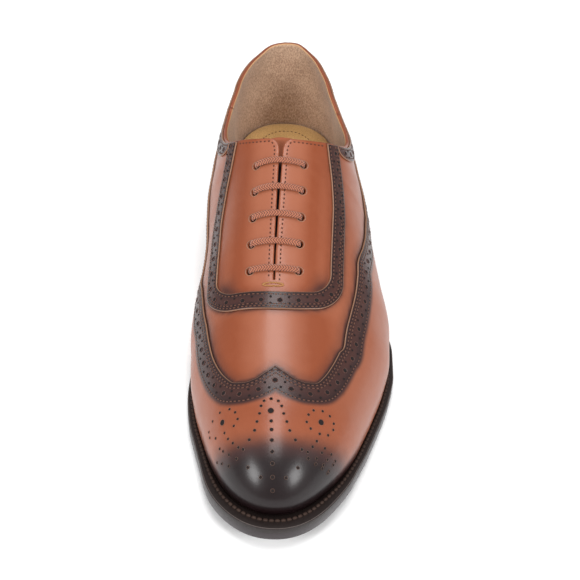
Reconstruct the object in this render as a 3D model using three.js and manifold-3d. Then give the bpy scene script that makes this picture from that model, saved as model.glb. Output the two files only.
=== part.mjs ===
// Left wing-tip lace-up shoe with a closed throat, a stitched-on leather sole and a stacked heel.
// Millimetres, +Z up, the shoe stands on z = 0 with its toe towards -Y and its outer side towards +X.
import * as THREE from "three";
import { mergeVertices } from "three/addons/utils/BufferGeometryUtils.js";
import Module from "manifold-3d";

const wasm = await Module();
wasm.setup();

// Driving dimensions of the sole unit
const soleLength = 309;
const ballWidth = 113;
const waistWidth = 82;
const heelWidth = 71;
const outsoleThick = 5.2;
const weltThick = 3;
const heelHeight = 25;
const topPieceThick = 6;
const heelLength = 72;
const heelTaper = 1.6;
const breastRadius = 90;
const toeSpring = 9;
const soleBevel = 0.8;
const insoleThick = 8;

// How far the sole reaches past the upper's foot at the tip of the toe, at the heel and beside the toe
const toeMargin = 10.5;
const heelMargin = 2.4;
const sideMargin = 6.2;

// Driving dimensions of the upper
const upperWall = 2.2;
const overlayThick = 0.9;
const toeBoxHeight = 39;
const instepHeight = 88;
const coneHeight = 130;
const backHeight = 64;
const ankleHeight = 50;
const heelFan = 37;
const toeFan = 44;
const facingLength = 72;
const throatGap = 2.6;
const flapCorner = 6.5;
const bandWidth = 8.8;
const panelCorner = 10;
const bandCorner = 14;
const panelReach = 6.5;
const collarStripWidth = 8.5;
const stripCorner = 7;
const collarEdge = 1.4;
const backStrapWidth = 19;
const seamGap = 0.4;
const tongueThick = 2;
const tongueHalfWidth = 25;
const tongueCorner = 14;
const tongueTip = 1.5;
const tongueUnderVamp = 20;

// Lace and eyelets
const laceWidth = 3.4;
const laceThick = 2;
const eyeletPairs = 5;
const eyeletPitch = 15.4;
const eyeletHalfSpan = 12.8;
const eyeletRadius = 2.4;
const firstEyelet = 6;

// Clearance between curved neighbours
const seat = 0.3;
const wallPlay = 0.4;

const HEEL = 0;
const WAIST = 1;
const BALL = 2;
const widths = [heelWidth, waistWidth, ballWidth];

// Half widths of the sole to each side of its middle line, as shares of the width that the row follows,
// and the line's bend to the outer side in shares of the ball width.
const soleOutline = [
  { along: 0, of: HEEL, outer: 0.49, inner: 0.48, bend: 0 },
  { along: 0.12, of: HEEL, outer: 0.5, inner: 0.5, bend: 0 },
  { along: 0.22, of: HEEL, outer: 0.53, inner: 0.5, bend: 0 },
  { along: 0.32, of: WAIST, outer: 0.52, inner: 0.43, bend: 0 },
  { along: 0.42, of: WAIST, outer: 0.6, inner: 0.43, bend: 0 },
  { along: 0.5, of: BALL, outer: 0.5, inner: 0.325, bend: 0 },
  { along: 0.58, of: BALL, outer: 0.553, inner: 0.389, bend: 0 },
  { along: 0.64, of: BALL, outer: 0.55, inner: 0.43, bend: 0 },
  { along: 0.7, of: BALL, outer: 0.518, inner: 0.438, bend: 0 },
  { along: 0.76, of: BALL, outer: 0.465, inner: 0.422, bend: 0 },
  { along: 0.82, of: BALL, outer: 0.405, inner: 0.384, bend: 0 },
  { along: 0.88, of: BALL, outer: 0.343, inner: 0.336, bend: -0.007 },
  { along: 0.94, of: BALL, outer: 0.296, inner: 0.296, bend: -0.02 },
  { along: 1, of: BALL, outer: 0.262, inner: 0.262, bend: -0.023 },
];
const heelRound = { length: 37, square: 2.25 };
const toeRound = { length: 40, square: 2.2 };

// Height of the sole's underside: behind the ball as a share of the heel, before it as a share of the spring.
const soleUnderside = [
  { along: 0, heel: 1.04, spring: 0 },
  { along: 0.12, heel: 1, spring: 0 },
  { along: 0.235, heel: 0.93, spring: 0 },
  { along: 0.32, heel: 0.66, spring: 0 },
  { along: 0.42, heel: 0.3, spring: 0 },
  { along: 0.52, heel: 0.06, spring: 0 },
  { along: 0.59, heel: 0, spring: 0 },
  { along: 0.7, heel: 0, spring: 0 },
  { along: 0.8, heel: 0, spring: 0.17 },
  { along: 0.9, heel: 0, spring: 0.52 },
  { along: 1, heel: 0, spring: 1 },
];

const CONE = 0;
const INSTEP = 1;
const TOE = 2;
const heights = [coneHeight, instepHeight, toeBoxHeight];

// Cross-sections of the upper, heel to toe. Ridge height above its foot as a share of the height that the
// row follows, squareness of the arch, swell of its outer and inner side, and the ridge's shift to the
// outer side in shares of the ball width.
const upperSections = [
  { along: 0.12, of: CONE, top: 1, square: 2.6, outer: 0.16, inner: 0.28, ridge: -0.035 },
  { along: 0.24, of: CONE, top: 0.88, square: 2.4, outer: 0.25, inner: 0.57, ridge: -0.036 },
  { along: 0.32, of: INSTEP, top: 1.1, square: 2.15, outer: 0.22, inner: 0.6, ridge: -0.039 },
  { along: 0.385, of: INSTEP, top: 1, square: 2, outer: 0.18, inner: 0.56, ridge: -0.041 },
  { along: 0.43, of: INSTEP, top: 0.965, square: 1.95, outer: 0.14, inner: 0.54, ridge: -0.044 },
  { along: 0.5, of: INSTEP, top: 0.88, square: 1.9, outer: 0.1, inner: 0.53, ridge: -0.049 },
  { along: 0.58, of: INSTEP, top: 0.74, square: 1.95, outer: 0.06, inner: 0.3, ridge: -0.053 },
  { along: 0.66, of: TOE, top: 1.39, square: 2.05, outer: 0.05, inner: 0.09, ridge: -0.051 },
  { along: 0.74, of: TOE, top: 1.18, square: 2.2, outer: 0.04, inner: 0.05, ridge: -0.041 },
  { along: 0.83, of: TOE, top: 1, square: 2.35, outer: 0.04, inner: 0.04, ridge: -0.025 },
];

// How much narrower the collar is than the heel seat on each side, as a share taken off at full height.
const collarPinch = [
  { along: 0, outer: 0.4, inner: 0.36 },
  { along: 0.065, outer: 0.41, inner: 0.33 },
  { along: 0.1, outer: 0.38, inner: 0.3 },
  { along: 0.13, outer: 0.35, inner: 0.27 },
  { along: 0.165, outer: 0.31, inner: 0.27 },
  { along: 0.21, outer: 0.26, inner: 0.28 },
  { along: 0.3, outer: 0.14, inner: 0.16 },
  { along: 0.36, outer: 0.04, inner: 0.04 },
  { along: 0.4, outer: 0, inner: 0 },
];

const ANKLE = 0;
const BACK = 1;
const FACING = 2;
const edges = [ankleHeight, backHeight, instepHeight];

// Height of the collar's edge above the upper's foot, as a share of the height that the row follows.
const topline = [
  { along: 0, of: BACK, height: 1 },
  { along: 0.08, of: BACK, height: 0.93 },
  { along: 0.15, of: ANKLE, height: 1.07 },
  { along: 0.2, of: ANKLE, height: 1 },
  { along: 0.24, of: ANKLE, height: 1.03 },
  { along: 0.28, of: ANKLE, height: 1.13 },
  { along: 0.31, of: ANKLE, height: 1.25 },
  { along: 0.335, of: FACING, height: 0.79 },
  { along: 0.36, of: FACING, height: 0.9 },
  { along: 0.385, of: FACING, height: 1.02 },
  { along: 0.42, of: FACING, height: 1.3 },
];

// Half width of the lace panel, as a share of the ball width.
const facingPanel = [
  { along: 0.32, half: 0.195 },
  { along: 0.36, half: 0.221 },
  { along: 0.39, half: 0.236 },
  { along: 0.425, half: 0.252 },
  { along: 0.48, half: 0.265 },
  { along: 0.6, half: 0.265 },
];

// Top edge of the wing piece on each side: its height above the upper's foot in shares of the toe box.
const wingSides = [
  { along: 0, outer: 1.5, inner: 1.5 },
  { along: 0.12, outer: 1.24, inner: 1.24 },
  { along: 0.2, outer: 1.06, inner: 1.06 },
  { along: 0.3, outer: 1.01, inner: 0.96 },
  { along: 0.38, outer: 1.04, inner: 0.84 },
  { along: 0.44, outer: 1.13, inner: 0.76 },
  { along: 0.49, outer: 1.25, inner: 0.74 },
  { along: 0.53, outer: 1.315, inner: 0.8 },
  { along: 0.56, outer: 1.27, inner: 0.89 },
  { along: 0.6, outer: 1.2, inner: 0.92 },
  { along: 0.66, outer: 1.12, inner: 0.895 },
  { along: 0.72, outer: 1.01, inner: 0.885 },
  { along: 0.78, outer: 0.93, inner: 0.87 },
];

// Front edge of the vamp, the W of the wing piece: distance from the shoe's heel in shares of its length,
// against the distance from the ridge in shares of the ball width.
const wingPoints = [
  { along: 0, line: 0.7695 },
  { along: 0.045, line: 0.7815 },
  { along: 0.09, line: 0.793 },
  { along: 0.135, line: 0.798 },
  { along: 0.18, line: 0.797 },
  { along: 0.22, line: 0.784 },
  { along: 0.26, line: 0.762 },
  { along: 0.3, line: 0.735 },
];

// Smooth monotone curve through a table: cubic pieces whose slopes never overshoot the rows.
function curveThrough(rows, value) {
  const xs = rows.map((row) => row.along);
  const ys = rows.map(value);
  const last = xs.length - 1;
  const rise = xs.slice(1).map((x, i) => (ys[i + 1] - ys[i]) / (x - xs[i]));
  const slope = xs.map((_, i) => {
    if (i === 0) return rise[0];
    if (i === last) return rise[last - 1];
    const [a, b] = [rise[i - 1], rise[i]];
    return a * b <= 0 ? 0 : (2 * a * b) / (a + b);
  });
  return (x) => {
    if (x <= xs[0]) return ys[0] + slope[0] * (x - xs[0]);
    if (x >= xs[last]) return ys[last] + slope[last] * (x - xs[last]);
    let i = 0;
    while (x > xs[i + 1]) i += 1;
    const h = xs[i + 1] - xs[i];
    const t = (x - xs[i]) / h;
    const start = ys[i] * (1 + 2 * t) * (1 - t) ** 2 + h * slope[i] * t * (1 - t) ** 2;
    return start + ys[i + 1] * t * t * (3 - 2 * t) + h * slope[i + 1] * t * t * (t - 1);
  };
}

const clamp01 = (value) => Math.min(1, Math.max(0, value));
const outerHalf = curveThrough(soleOutline, (row) => row.outer * widths[row.of]);
const innerHalf = curveThrough(soleOutline, (row) => row.inner * widths[row.of]);
const bend = curveThrough(soleOutline, (row) => row.bend * ballWidth);
const underside = curveThrough(soleUnderside, (row) => row.heel * heelHeight + row.spring * toeSpring);
const ridgeHeight = curveThrough(upperSections, (row) => row.top * heights[row.of]);
const archSquare = curveThrough(upperSections, (row) => row.square);
const swellOut = curveThrough(upperSections, (row) => row.outer);
const swellIn = curveThrough(upperSections, (row) => row.inner);
const pinchOut = curveThrough(collarPinch, (row) => row.outer);
const pinchIn = curveThrough(collarPinch, (row) => row.inner);
const ridgeShift = curveThrough(upperSections, (row) => row.ridge * ballWidth);
const edgeHeight = curveThrough(topline, (row) => row.height * edges[row.of]);
const panelHalf = curveThrough(facingPanel, (row) => row.half * ballWidth);
const wingOuter = curveThrough(wingSides, (row) => row.outer * toeBoxHeight);
const wingInner = curveThrough(wingSides, (row) => row.inner * toeBoxHeight);
const wingFront = curveThrough(wingPoints, (row) => row.line * soleLength);

// How far the sole reaches past the upper's foot on each side, as a share of the side margin.
const footMargins = [
  { along: 0.1, outer: 0.39, inner: 0.39 },
  { along: 0.35, outer: 0.58, inner: 0.48 },
  { along: 0.65, outer: 0.9, inner: 0.52 },
  { along: 0.78, outer: 0.94, inner: 0.84 },
  { along: 0.9, outer: 1, inner: 0.97 },
  { along: 1, outer: 1, inner: 0.97 },
];
const marginOut = curveThrough(footMargins, (row) => row.outer * sideMargin);
const marginIn = curveThrough(footMargins, (row) => row.inner * sideMargin);

// Below, "along" is measured in millimetres from the back of the sole, and side is 1 outside or -1 inside.
const footStart = heelMargin;
const footEnd = soleLength - toeMargin;
const heelCentre = footStart + heelFan;
const toeCentre = footEnd - toeFan;
const soleTop = (along) => underside(along / soleLength) + outsoleThick;
const foot = (along) => soleTop(along) + seat + weltThick + seat;

// Rounded end of an outline: a superellipse quarter that grows from 0 to 1 over its length.
function roundEnd(distance, round) {
  const rest = 1 - clamp01(distance / round.length);
  return (1 - rest ** round.square) ** (1 / round.square);
}

// Half width of the outline on one side, drawn in by extra beyond share times the upper's margin.
function halfWidth(side, along, share, extra) {
  const start = share * heelMargin + extra;
  const end = soleLength - share * toeMargin - extra;
  const u = along / soleLength;
  const full = side > 0 ? outerHalf(u) : innerHalf(u);
  const margin = Math.max(heelMargin, side > 0 ? marginOut(u) : marginIn(u));
  const inset = share * margin + extra;
  return (full - inset) * roundEnd(along - start, heelRound) * roundEnd(end - along, toeRound);
}

// Distance from a spine point to the upper's foot line, in the direction that turns by angle from the
// shoe's axis: a bisection on the outline.
function reachFoot(side, centre, forward, angle) {
  let near = 0;
  let far = 2 * ballWidth;
  for (let step = 0; step < 50; step += 1) {
    const r = (near + far) / 2;
    const along = centre + forward * r * Math.cos(angle);
    const inside = along > footStart && along < footEnd;
    const across = ridgeShift(centre / soleLength) + side * r * Math.sin(angle);
    if (inside && side * (across - bend(along / soleLength)) < halfWidth(side, along, 1, 0)) near = r;
    else far = r;
  }
  return near;
}

const ridgeTop = (along) => foot(along) + ridgeHeight(along / soleLength);

// One station of the upper: its spine point, the foot points to both sides and the slope of the ridge
// there, with which the toe leans forward.
function station(centre, forward, angle) {
  const shift = ridgeShift(centre / soleLength);
  const footPoint = (side) => {
    const r = reachFoot(side, centre, forward, angle);
    return [shift + side * r * Math.sin(angle), centre + forward * r * Math.cos(angle)];
  };
  const outer = footPoint(1);
  const inner = angle === 0 ? outer : footPoint(-1);
  const lean = forward > 0 ? ridgeTop(centre + 0.5) - ridgeTop(centre - 0.5) : 0;
  return { centre, shift, lean, sideways: Math.sin(angle) ** 2, outer, inner };
}

const swellsUpTo = 0.45;
const endSwell = 0.06;

// Point on the upper's outer face. Climb runs from 0 at the foot to 1 on the ridge.
function archPoint(at, side, climb) {
  const u = at.centre / soleLength;
  const square = archSquare(u);
  const angle = (climb * Math.PI) / 2;
  const reach = (Math.cos(angle) ** square + Math.sin(angle) ** square) ** (-1 / square);
  const rise = reach * Math.sin(angle);
  const tuckedIn = (1 - clamp01(rise / swellsUpTo)) ** 2;
  const sideSwell = side > 0 ? swellOut(u) : swellIn(u);
  const swell = 1 + (endSwell + (sideSwell - endSwell) * at.sideways) * (1 - tuckedIn);
  const out = climb === 1 ? 0 : reach * Math.cos(angle) * swell;
  const [x, along] = side > 0 ? at.outer : at.inner;
  const low = foot(along);
  const there = at.centre + (along - at.centre) * out;
  const high = ridgeTop(at.centre) + at.lean * (there - at.centre);
  const climbed = (high - low) * rise;
  const pinched = there > 0.4 * soleLength ? 0 : (side > 0 ? pinchOut : pinchIn)(Math.max(0, there) / soleLength);
  const narrowed = 1 - (pinched * climbed) / backHeight;
  return [at.shift + (x - at.shift) * out * Math.max(0.2, narrowed), there, low + climbed];
}

const heelSteps = 7;
const midSteps = 20;
const toeSteps = 8;
const climbSteps = 11;

// The whole last as one open sheet: arches over every station, fanned round the heel and the toe.
function lastSheet() {
  const stations = [];
  for (let i = 0; i < heelSteps; i += 1)
    stations.push(station(heelCentre, -1, (i / heelSteps) * (Math.PI / 2)));
  for (let i = 0; i <= midSteps; i += 1)
    stations.push(station(heelCentre + ((toeCentre - heelCentre) * i) / midSteps, 1, Math.PI / 2));
  for (let i = toeSteps - 1; i >= 0; i -= 1)
    stations.push(station(toeCentre, 1, (i / toeSteps) * (Math.PI / 2)));
  const points = [];
  const index = [];
  const row = 2 * climbSteps + 1;
  for (const at of stations) {
    for (let j = 0; j < row; j += 1) {
      const side = j <= climbSteps ? -1 : 1;
      const climb = 1 - Math.abs(j - climbSteps) / climbSteps;
      points.push(...archPoint(at, side, climb));
    }
  }
  for (let i = 0; i + 1 < stations.length; i += 1) {
    for (let j = 0; j + 1 < row; j += 1) {
      const a = i * row + j;
      index.push(a, a + 1, a + row, a + 1, a + row + 1, a + row);
    }
  }
  return weld(points, index);
}

// Merges points that coincide, drops collapsed triangles and adds smooth normals.
function weld(points, index) {
  const raw = new THREE.BufferGeometry();
  raw.setAttribute("position", new THREE.Float32BufferAttribute(points, 3));
  raw.setIndex(index);
  const merged = mergeVertices(raw, 0.01);
  const kept = [];
  const old = merged.index.array;
  for (let k = 0; k < old.length; k += 3) {
    const [a, b, c] = [old[k], old[k + 1], old[k + 2]];
    if (a !== b && b !== c && c !== a) kept.push(a, b, c);
  }
  merged.setIndex(kept);
  merged.computeVertexNormals();
  const vertices = [];
  const position = merged.attributes.position;
  const normal = merged.attributes.normal;
  for (let k = 0; k < position.count; k += 1)
    vertices.push({
      p: new THREE.Vector3().fromBufferAttribute(position, k),
      n: new THREE.Vector3().fromBufferAttribute(normal, k),
    });
  return { vertices, faces: kept };
}

const closest = 0.12;

// Splits the triangles of a sheet along the zero line of a field, so that none lies on both sides.
function splitAlong(sheet, field) {
  const value = sheet.vertices.map((v) => {
    const g = field(v.p);
    return Math.abs(g) < closest ? 0 : g;
  });
  const vertices = [...sheet.vertices];
  const faces = [];
  const cuts = new Map();
  const cut = (a, b) => {
    const key = a < b ? a + "_" + b : b + "_" + a;
    if (!cuts.has(key)) {
      const t = value[a] / (value[a] - value[b]);
      const [va, vb] = [vertices[a], vertices[b]];
      const made = { p: va.p.clone().lerp(vb.p, t), n: va.n.clone().lerp(vb.n, t).normalize() };
      cuts.set(key, vertices.push(made) - 1);
    }
    return cuts.get(key);
  };
  for (let k = 0; k < sheet.faces.length; k += 3) {
    const corners = [sheet.faces[k], sheet.faces[k + 1], sheet.faces[k + 2]];
    const [low, high] = [[], []];
    corners.forEach((a, i) => {
      const b = corners[(i + 1) % 3];
      if (value[a] <= 0) low.push(a);
      if (value[a] >= 0) high.push(a);
      if (value[a] * value[b] >= 0) return;
      const made = cut(a, b);
      low.push(made);
      high.push(made);
    });
    const flat = corners.every((a) => value[a] === 0);
    for (const ring of flat ? [corners] : [low, high])
      for (let i = 1; i + 1 < ring.length; i += 1) faces.push(ring[0], ring[i], ring[i + 1]);
  }
  return { vertices, faces };
}

// The part of a sheet where a combined field is below 0, cut along the zero lines of its simple fields.
function carve(sheet, lines, keep) {
  let split = sheet;
  for (const line of lines) split = splitAlong(split, line);
  const used = new Map();
  const vertices = [];
  const faces = [];
  const take = (a) => {
    if (!used.has(a)) used.set(a, vertices.push(split.vertices[a]) - 1);
    return used.get(a);
  };
  for (let k = 0; k < split.faces.length; k += 3) {
    const corners = [split.faces[k], split.faces[k + 1], split.faces[k + 2]];
    const middle = new THREE.Vector3();
    for (const a of corners) middle.addScaledVector(split.vertices[a].p, 1 / 3);
    if (keep(middle) < 0) faces.push(...corners.map(take));
  }
  return { vertices, faces };
}

const trim = (sheet, field) => carve(sheet, [field], field);

// Gives a sheet a wall between two offsets along its normals, closed round every edge.
function thicken(sheet, innerOffset, outerOffset) {
  const count = sheet.vertices.length;
  const offsetPoint = (v, offset) => {
    const n = v.n.clone();
    const onFoot = v.p.z - foot(v.p.y) < closest;
    if (onFoot) n.setZ(0).normalize();
    return v.p.clone().addScaledVector(n, typeof offset === "function" ? offset(v.p) : offset);
  };
  const points = [
    ...sheet.vertices.map((v) => offsetPoint(v, outerOffset)),
    ...sheet.vertices.map((v) => offsetPoint(v, innerOffset)),
  ];
  const index = [...sheet.faces];
  const edgesUsed = new Map();
  for (let k = 0; k < sheet.faces.length; k += 3) {
    const [a, b, c] = [sheet.faces[k], sheet.faces[k + 1], sheet.faces[k + 2]];
    index.push(a + count, c + count, b + count);
    for (const [from, to] of [[a, b], [b, c], [c, a]]) edgesUsed.set(from + "_" + to, [from, to]);
  }
  for (const [from, to] of edgesUsed.values()) {
    if (edgesUsed.has(to + "_" + from)) continue;
    index.push(to, from, from + count, to, from + count, to + count);
  }
  return closedMesh(points, index);
}

// Points and triangles as a plain geometry.
function closedMesh(points, index) {
  const geometry = new THREE.BufferGeometry();
  geometry.setAttribute("position", new THREE.Float32BufferAttribute(points.flatMap((p) => [p.x, p.y, p.z]), 3));
  geometry.setIndex(index);
  return geometry;
}

// A closed geometry as a solid that can be cut and joined.
function toSolid(geometry) {
  const bare = geometry.clone();
  bare.deleteAttribute("normal");
  bare.deleteAttribute("uv");
  const merged = mergeVertices(bare, 1e-3);
  const mesh = new wasm.Mesh({
    numProp: 3,
    vertProperties: new Float32Array(merged.attributes.position.array),
    triVerts: new Uint32Array(merged.index.array),
  });
  return new wasm.Manifold(mesh);
}

function fromSolid(solid) {
  const mesh = solid.getMesh();
  const geometry = new THREE.BufferGeometry();
  geometry.setAttribute("position", new THREE.BufferAttribute(new Float32Array(mesh.vertProperties), 3));
  geometry.setIndex(new THREE.BufferAttribute(new Uint32Array(mesh.triVerts), 1));
  return geometry;
}

const endSteps = 8;
const sideSteps = 22;

// Shares of the way from heel to toe at which an outline is drawn, close together round its ends.
function outlineShares(length) {
  const shares = [];
  const heelPart = heelRound.length / length;
  const toePart = toeRound.length / length;
  const turn = (i) => 1 - Math.cos(((i - 0.5) / endSteps) * (Math.PI / 2));
  for (let i = 1; i <= endSteps; i += 1) shares.push(heelPart * turn(i));
  for (let i = 0; i <= sideSteps; i += 1) shares.push(heelPart + ((1 - heelPart - toePart) * i) / sideSteps);
  for (let i = endSteps; i > 0; i -= 1) shares.push(1 - toePart * turn(i));
  return shares;
}

// One closed ring of an outline: outer side heel to toe, then the inner side back to the heel.
function ring(share, extra, height, until = soleLength) {
  const start = share * heelMargin + extra;
  const end = soleLength - share * toeMargin - extra;
  const all = outlineShares(end - start).map((s) => start + s * (end - start));
  const alongs = until < soleLength ? [...all.filter((along) => along < until - 1), until] : all;
  const point = (side) => (along) =>
    new THREE.Vector3(bend(along / soleLength) + side * halfWidth(side, along, share, extra), along, height(along));
  return [...alongs.map(point(1)), ...[...alongs].reverse().map(point(-1))];
}

// Walls between rings, each joined to the next, bottom ring first. A loop closes on itself, and a stack
// gets strips across its first and last ring.
function joinRings(rings, isLoop) {
  const n = rings[0].length;
  const index = [];
  const strips = isLoop ? rings.length : rings.length - 1;
  for (let k = 0; k < strips; k += 1) {
    const low = k * n;
    const high = ((k + 1) % rings.length) * n;
    for (let i = 0; i < n; i += 1) {
      const j = (i + 1) % n;
      index.push(low + i, low + j, high + j, low + i, high + j, high + i);
    }
  }
  if (!isLoop) {
    const top = (rings.length - 1) * n;
    for (let i = 0; i + 1 < n / 2; i += 1) {
      const [a, b, c, d] = [i, i + 1, n - 2 - i, n - 1 - i];
      index.push(a, c, b, a, d, c);
      index.push(top + a, top + b, top + c, top + a, top + c, top + d);
    }
  }
  return closedMesh(rings.flat(), index);
}

function outsole() {
  const low = (along) => underside(along / soleLength);
  return joinRings(
    [
      ring(0, soleBevel, low),
      ring(0, 0, (along) => low(along) + soleBevel),
      ring(0, 0, (along) => soleTop(along) - soleBevel),
      ring(0, soleBevel, soleTop),
    ],
    false,
  );
}

const weltBevel = 0.6;
const weltInner = 0.2;
const breast = heelLength;
const bigBox = 2 * soleLength;

// The welt and the heel's rand are one strip round the whole shoe, parted at the heel's breast.
function weltStrip() {
  const low = (along) => soleTop(along) + seat;
  const high = (along) => low(along) + weltThick;
  const inner = upperWall + weltInner;
  return toSolid(
    joinRings(
      [
        ring(1, inner, low),
        ring(0, weltBevel, low),
        ring(0, weltInner, (along) => low(along) + weltBevel),
        ring(0, weltInner, (along) => high(along) - weltBevel),
        ring(0, weltBevel + weltInner, high),
        ring(1, inner, high),
      ],
      true,
    ),
  );
}

function boxSolid(low, high) {
  const size = new THREE.Vector3().subVectors(high, low);
  const geometry = new THREE.BoxGeometry(size.x, size.y, size.z);
  geometry.translate(...new THREE.Vector3().addVectors(low, high).multiplyScalar(0.5));
  return toSolid(geometry);
}

function slabAlong(from, to) {
  return boxSolid(new THREE.Vector3(-bigBox, from, -bigBox), new THREE.Vector3(bigBox, to, bigBox));
}

// A heel layer between two heights, drawn in a little towards the floor, with a hollowed breast.
function heelLayer(low, high, taperLow, taperHigh) {
  const stack = toSolid(
    joinRings([ring(0, taperLow, low, breast), ring(0, taperHigh, high, breast)], false),
  );
  const scoop = new THREE.CylinderGeometry(breastRadius, breastRadius, bigBox, 96);
  scoop.rotateX(Math.PI / 2).translate(0, breast + breastRadius - 3, 0);
  return fromSolid(stack.subtract(toSolid(scoop)));
}

function insole() {
  const extra = upperWall + wallPlay;
  const low = (along) => soleTop(along) + seat;
  const high = (along) => low(along) + insoleThick;
  const inner = extra + wallPlay;
  return joinRings([ring(1, inner, low), ring(1, extra, high)], false);
}

// Fields on the upper, in millimetres: below 0 inside the named region.
const acrossRidge = (p) => p.x - ridgeShift(p.y / soleLength);
const aboveFoot = (p) => p.z - foot(p.y);
const belowTopline = (p) => aboveFoot(p) - edgeHeight(p.y / soleLength);
const facingTop = soleLength * 0.381;
const slitEnd = facingTop + facingLength;
const panelFront = slitEnd + panelReach;

// Signed distance inside the slit between the two lace panels, which narrows towards its front end and
// opens between the flaps' corners at its top.
function insideSlit(p) {
  const gap = throatGap * (0.5 + 0.5 * clamp01((slitEnd - p.y) / facingLength));
  const corner = 0.7 * Math.max(0, facingTop + flapCorner - p.y);
  return gap / 2 + corner - Math.abs(acrossRidge(p));
}

// Meeting of two half spaces with a rounded corner, from their signed distances.
function roundedCorner(a, b, radius) {
  return Math.hypot(Math.max(a + radius, 0), Math.max(b + radius, 0)) + Math.min(Math.max(a, b), -radius);
}

const frontBow = 0.68 / ballWidth;
const panelBack = soleLength * 0.26;
const panelLow = instepHeight * 0.36;

// Distance outside the lace panel grown by a border of the band's width. Seen from above the border is
// narrower on the steep sides, and the front line bows a little.
function outsidePanel(p, border, corner) {
  const across = acrossRidge(p);
  const slope = across > 0 ? 0.7 : 0.5;
  const side = Math.abs(across) - panelHalf(p.y / soleLength) - slope * border;
  const front = p.y - panelFront - 0.95 * border + frontBow * across * across;
  return Math.max(roundedCorner(side, front, corner), panelBack - p.y, panelLow - aboveFoot(p));
}

const insideBand = (p) => outsidePanel(p, 0, panelCorner);
const outsideBand = (p) => outsidePanel(p, bandWidth, bandCorner);
const outsideStrip = (p) => -belowTopline(p) - collarEdge - collarStripWidth;

// Signed distances behind the wing piece's W edge, and above its top edge on the sides.
const behindWing = (p) => wingFront(Math.min(0.3, Math.abs(acrossRidge(p)) / ballWidth)) - p.y;
const aboveWing = (p) => aboveFoot(p) - (acrossRidge(p) > 0 ? wingOuter : wingInner)(clamp01(p.y / soleLength));

const below = (field, level) => (p) => field(p) - level;
const above = (field, level) => (p) => level - field(p);

const upperSheet = trim(lastSheet(), belowTopline);

function upper() {
  const beforeEnd = (p) => slitEnd - p.y;
  const inFront = (p) => p.y - (facingTop - tongueHalfWidth);
  const open = carve(upperSheet, [insideSlit, beforeEnd], (p) => Math.min(insideSlit(p), beforeEnd(p), inFront(p)));
  let solid = toSolid(thicken(open, -upperWall, 0));
  for (const hole of eyelets()) solid = solid.subtract(hole);
  return fromSolid(solid);
}

// Point and normal on the ridge side of the upper at a given place along and across.
function onUpper(along, across) {
  const at = station(along, 1, Math.PI / 2);
  const side = Math.sign(across) || 1;
  let [low, high] = [0, 1];
  for (let step = 0; step < 40; step += 1) {
    const climb = (low + high) / 2;
    if (side * (archPoint(at, side, climb)[0] - at.shift) > Math.abs(across)) low = climb;
    else high = climb;
  }
  return new THREE.Vector3(...archPoint(at, side, low));
}

function upperFrame(along, across) {
  const p = onUpper(along, across);
  const forwards = onUpper(along + 1, across).sub(onUpper(along - 1, across));
  const sidewards = onUpper(along, across + 0.5).sub(onUpper(along, across - 0.5));
  return { p, n: sidewards.cross(forwards).normalize(), forwards: forwards.normalize() };
}

// Places along the shoe of the lace rows, spaced along the slope of the instep, from the throat up.
function laceRows() {
  const rows = [slitEnd - firstEyelet];
  const step = 0.25;
  while (rows.length < eyeletPairs) {
    let along = rows[rows.length - 1];
    let walked = 0;
    while (walked < eyeletPitch) {
      walked += onUpper(along, 0.01).distanceTo(onUpper(along - step, 0.01));
      along -= step;
    }
    rows.push(along);
  }
  return rows;
}

const rows = laceRows();

function eyelets() {
  return rows.flatMap((along) =>
    [-1, 1].map((side) => {
      const { p, n } = upperFrame(along, side * eyeletHalfSpan);
      const punch = new THREE.CylinderGeometry(eyeletRadius, eyeletRadius, 4 * upperWall, 12);
      punch.applyQuaternion(new THREE.Quaternion().setFromUnitVectors(new THREE.Vector3(0, 1, 0), n));
      punch.translate(...p.addScaledVector(n, -upperWall / 2));
      return toSolid(punch);
    }),
  );
}

const allOf = (fields) => (p) => Math.max(...fields.map((field) => field(p)));

// A flat piece of leather on the upper, over the part of it where every field is below 0.
function overlay(fields, keep = allOf(fields)) {
  const sheet = trim(lastSheet(), below(belowTopline, -collarEdge));
  return thicken(carve(sheet, fields, keep), seat, seat + overlayThick);
}

const fromStrap = (p) => (p.y > heelCentre ? bigBox : Math.abs(acrossRidge(p)) - backStrapWidth / 2);
const clearOfStrap = above(fromStrap, seamGap);
const onStrap = (p) => Math.max(fromStrap(p), p.y - heelCentre);
const collarEnd = (p) => roundedCorner(outsideStrip(p), 2 * seamGap - outsideBand(p), stripCorner);
const stripOn = (side) => [collarEnd, clearOfStrap, (p) => -side * acrossRidge(p)];
const wingLines = [behindWing, aboveWing, clearOfStrap, above(outsideStrip, seamGap)];
const onWing = (p) => Math.max(Math.min(behindWing(p), aboveWing(p)), clearOfStrap(p), seamGap - outsideStrip(p));

const tongueBack = facingTop - tongueTip;
const tongueFront = slitEnd + tongueUnderVamp;
const laceSpace = upperWall + 2 * wallPlay + laceThick;

// The tongue lies under the laces and comes close below the vamp in front of them.
function tongue() {
  const top = (p) => p.y - tongueFront;
  const edgesOf = (p) => roundedCorner(Math.abs(acrossRidge(p)) - tongueHalfWidth, tongueBack - p.y, tongueCorner);
  const depth = (p) => {
    const rise = clamp01((tongueFront - p.y) / (tongueFront - slitEnd));
    return -(upperWall + wallPlay + (laceSpace - upperWall - wallPlay) * rise * rise * (3 - 2 * rise));
  };
  const sheet = trim(trim(lastSheet(), top), edgesOf);
  return thicken(sheet, (p) => depth(p) - tongueThick, depth);
}

const barSteps = 6;
const laceOver = wallPlay + laceThick / 2;
const laceUnder = -upperWall - wallPlay - laceThick / 2;
const WIDE = laceWidth / 2;
const THIN = laceThick / 2;

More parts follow.
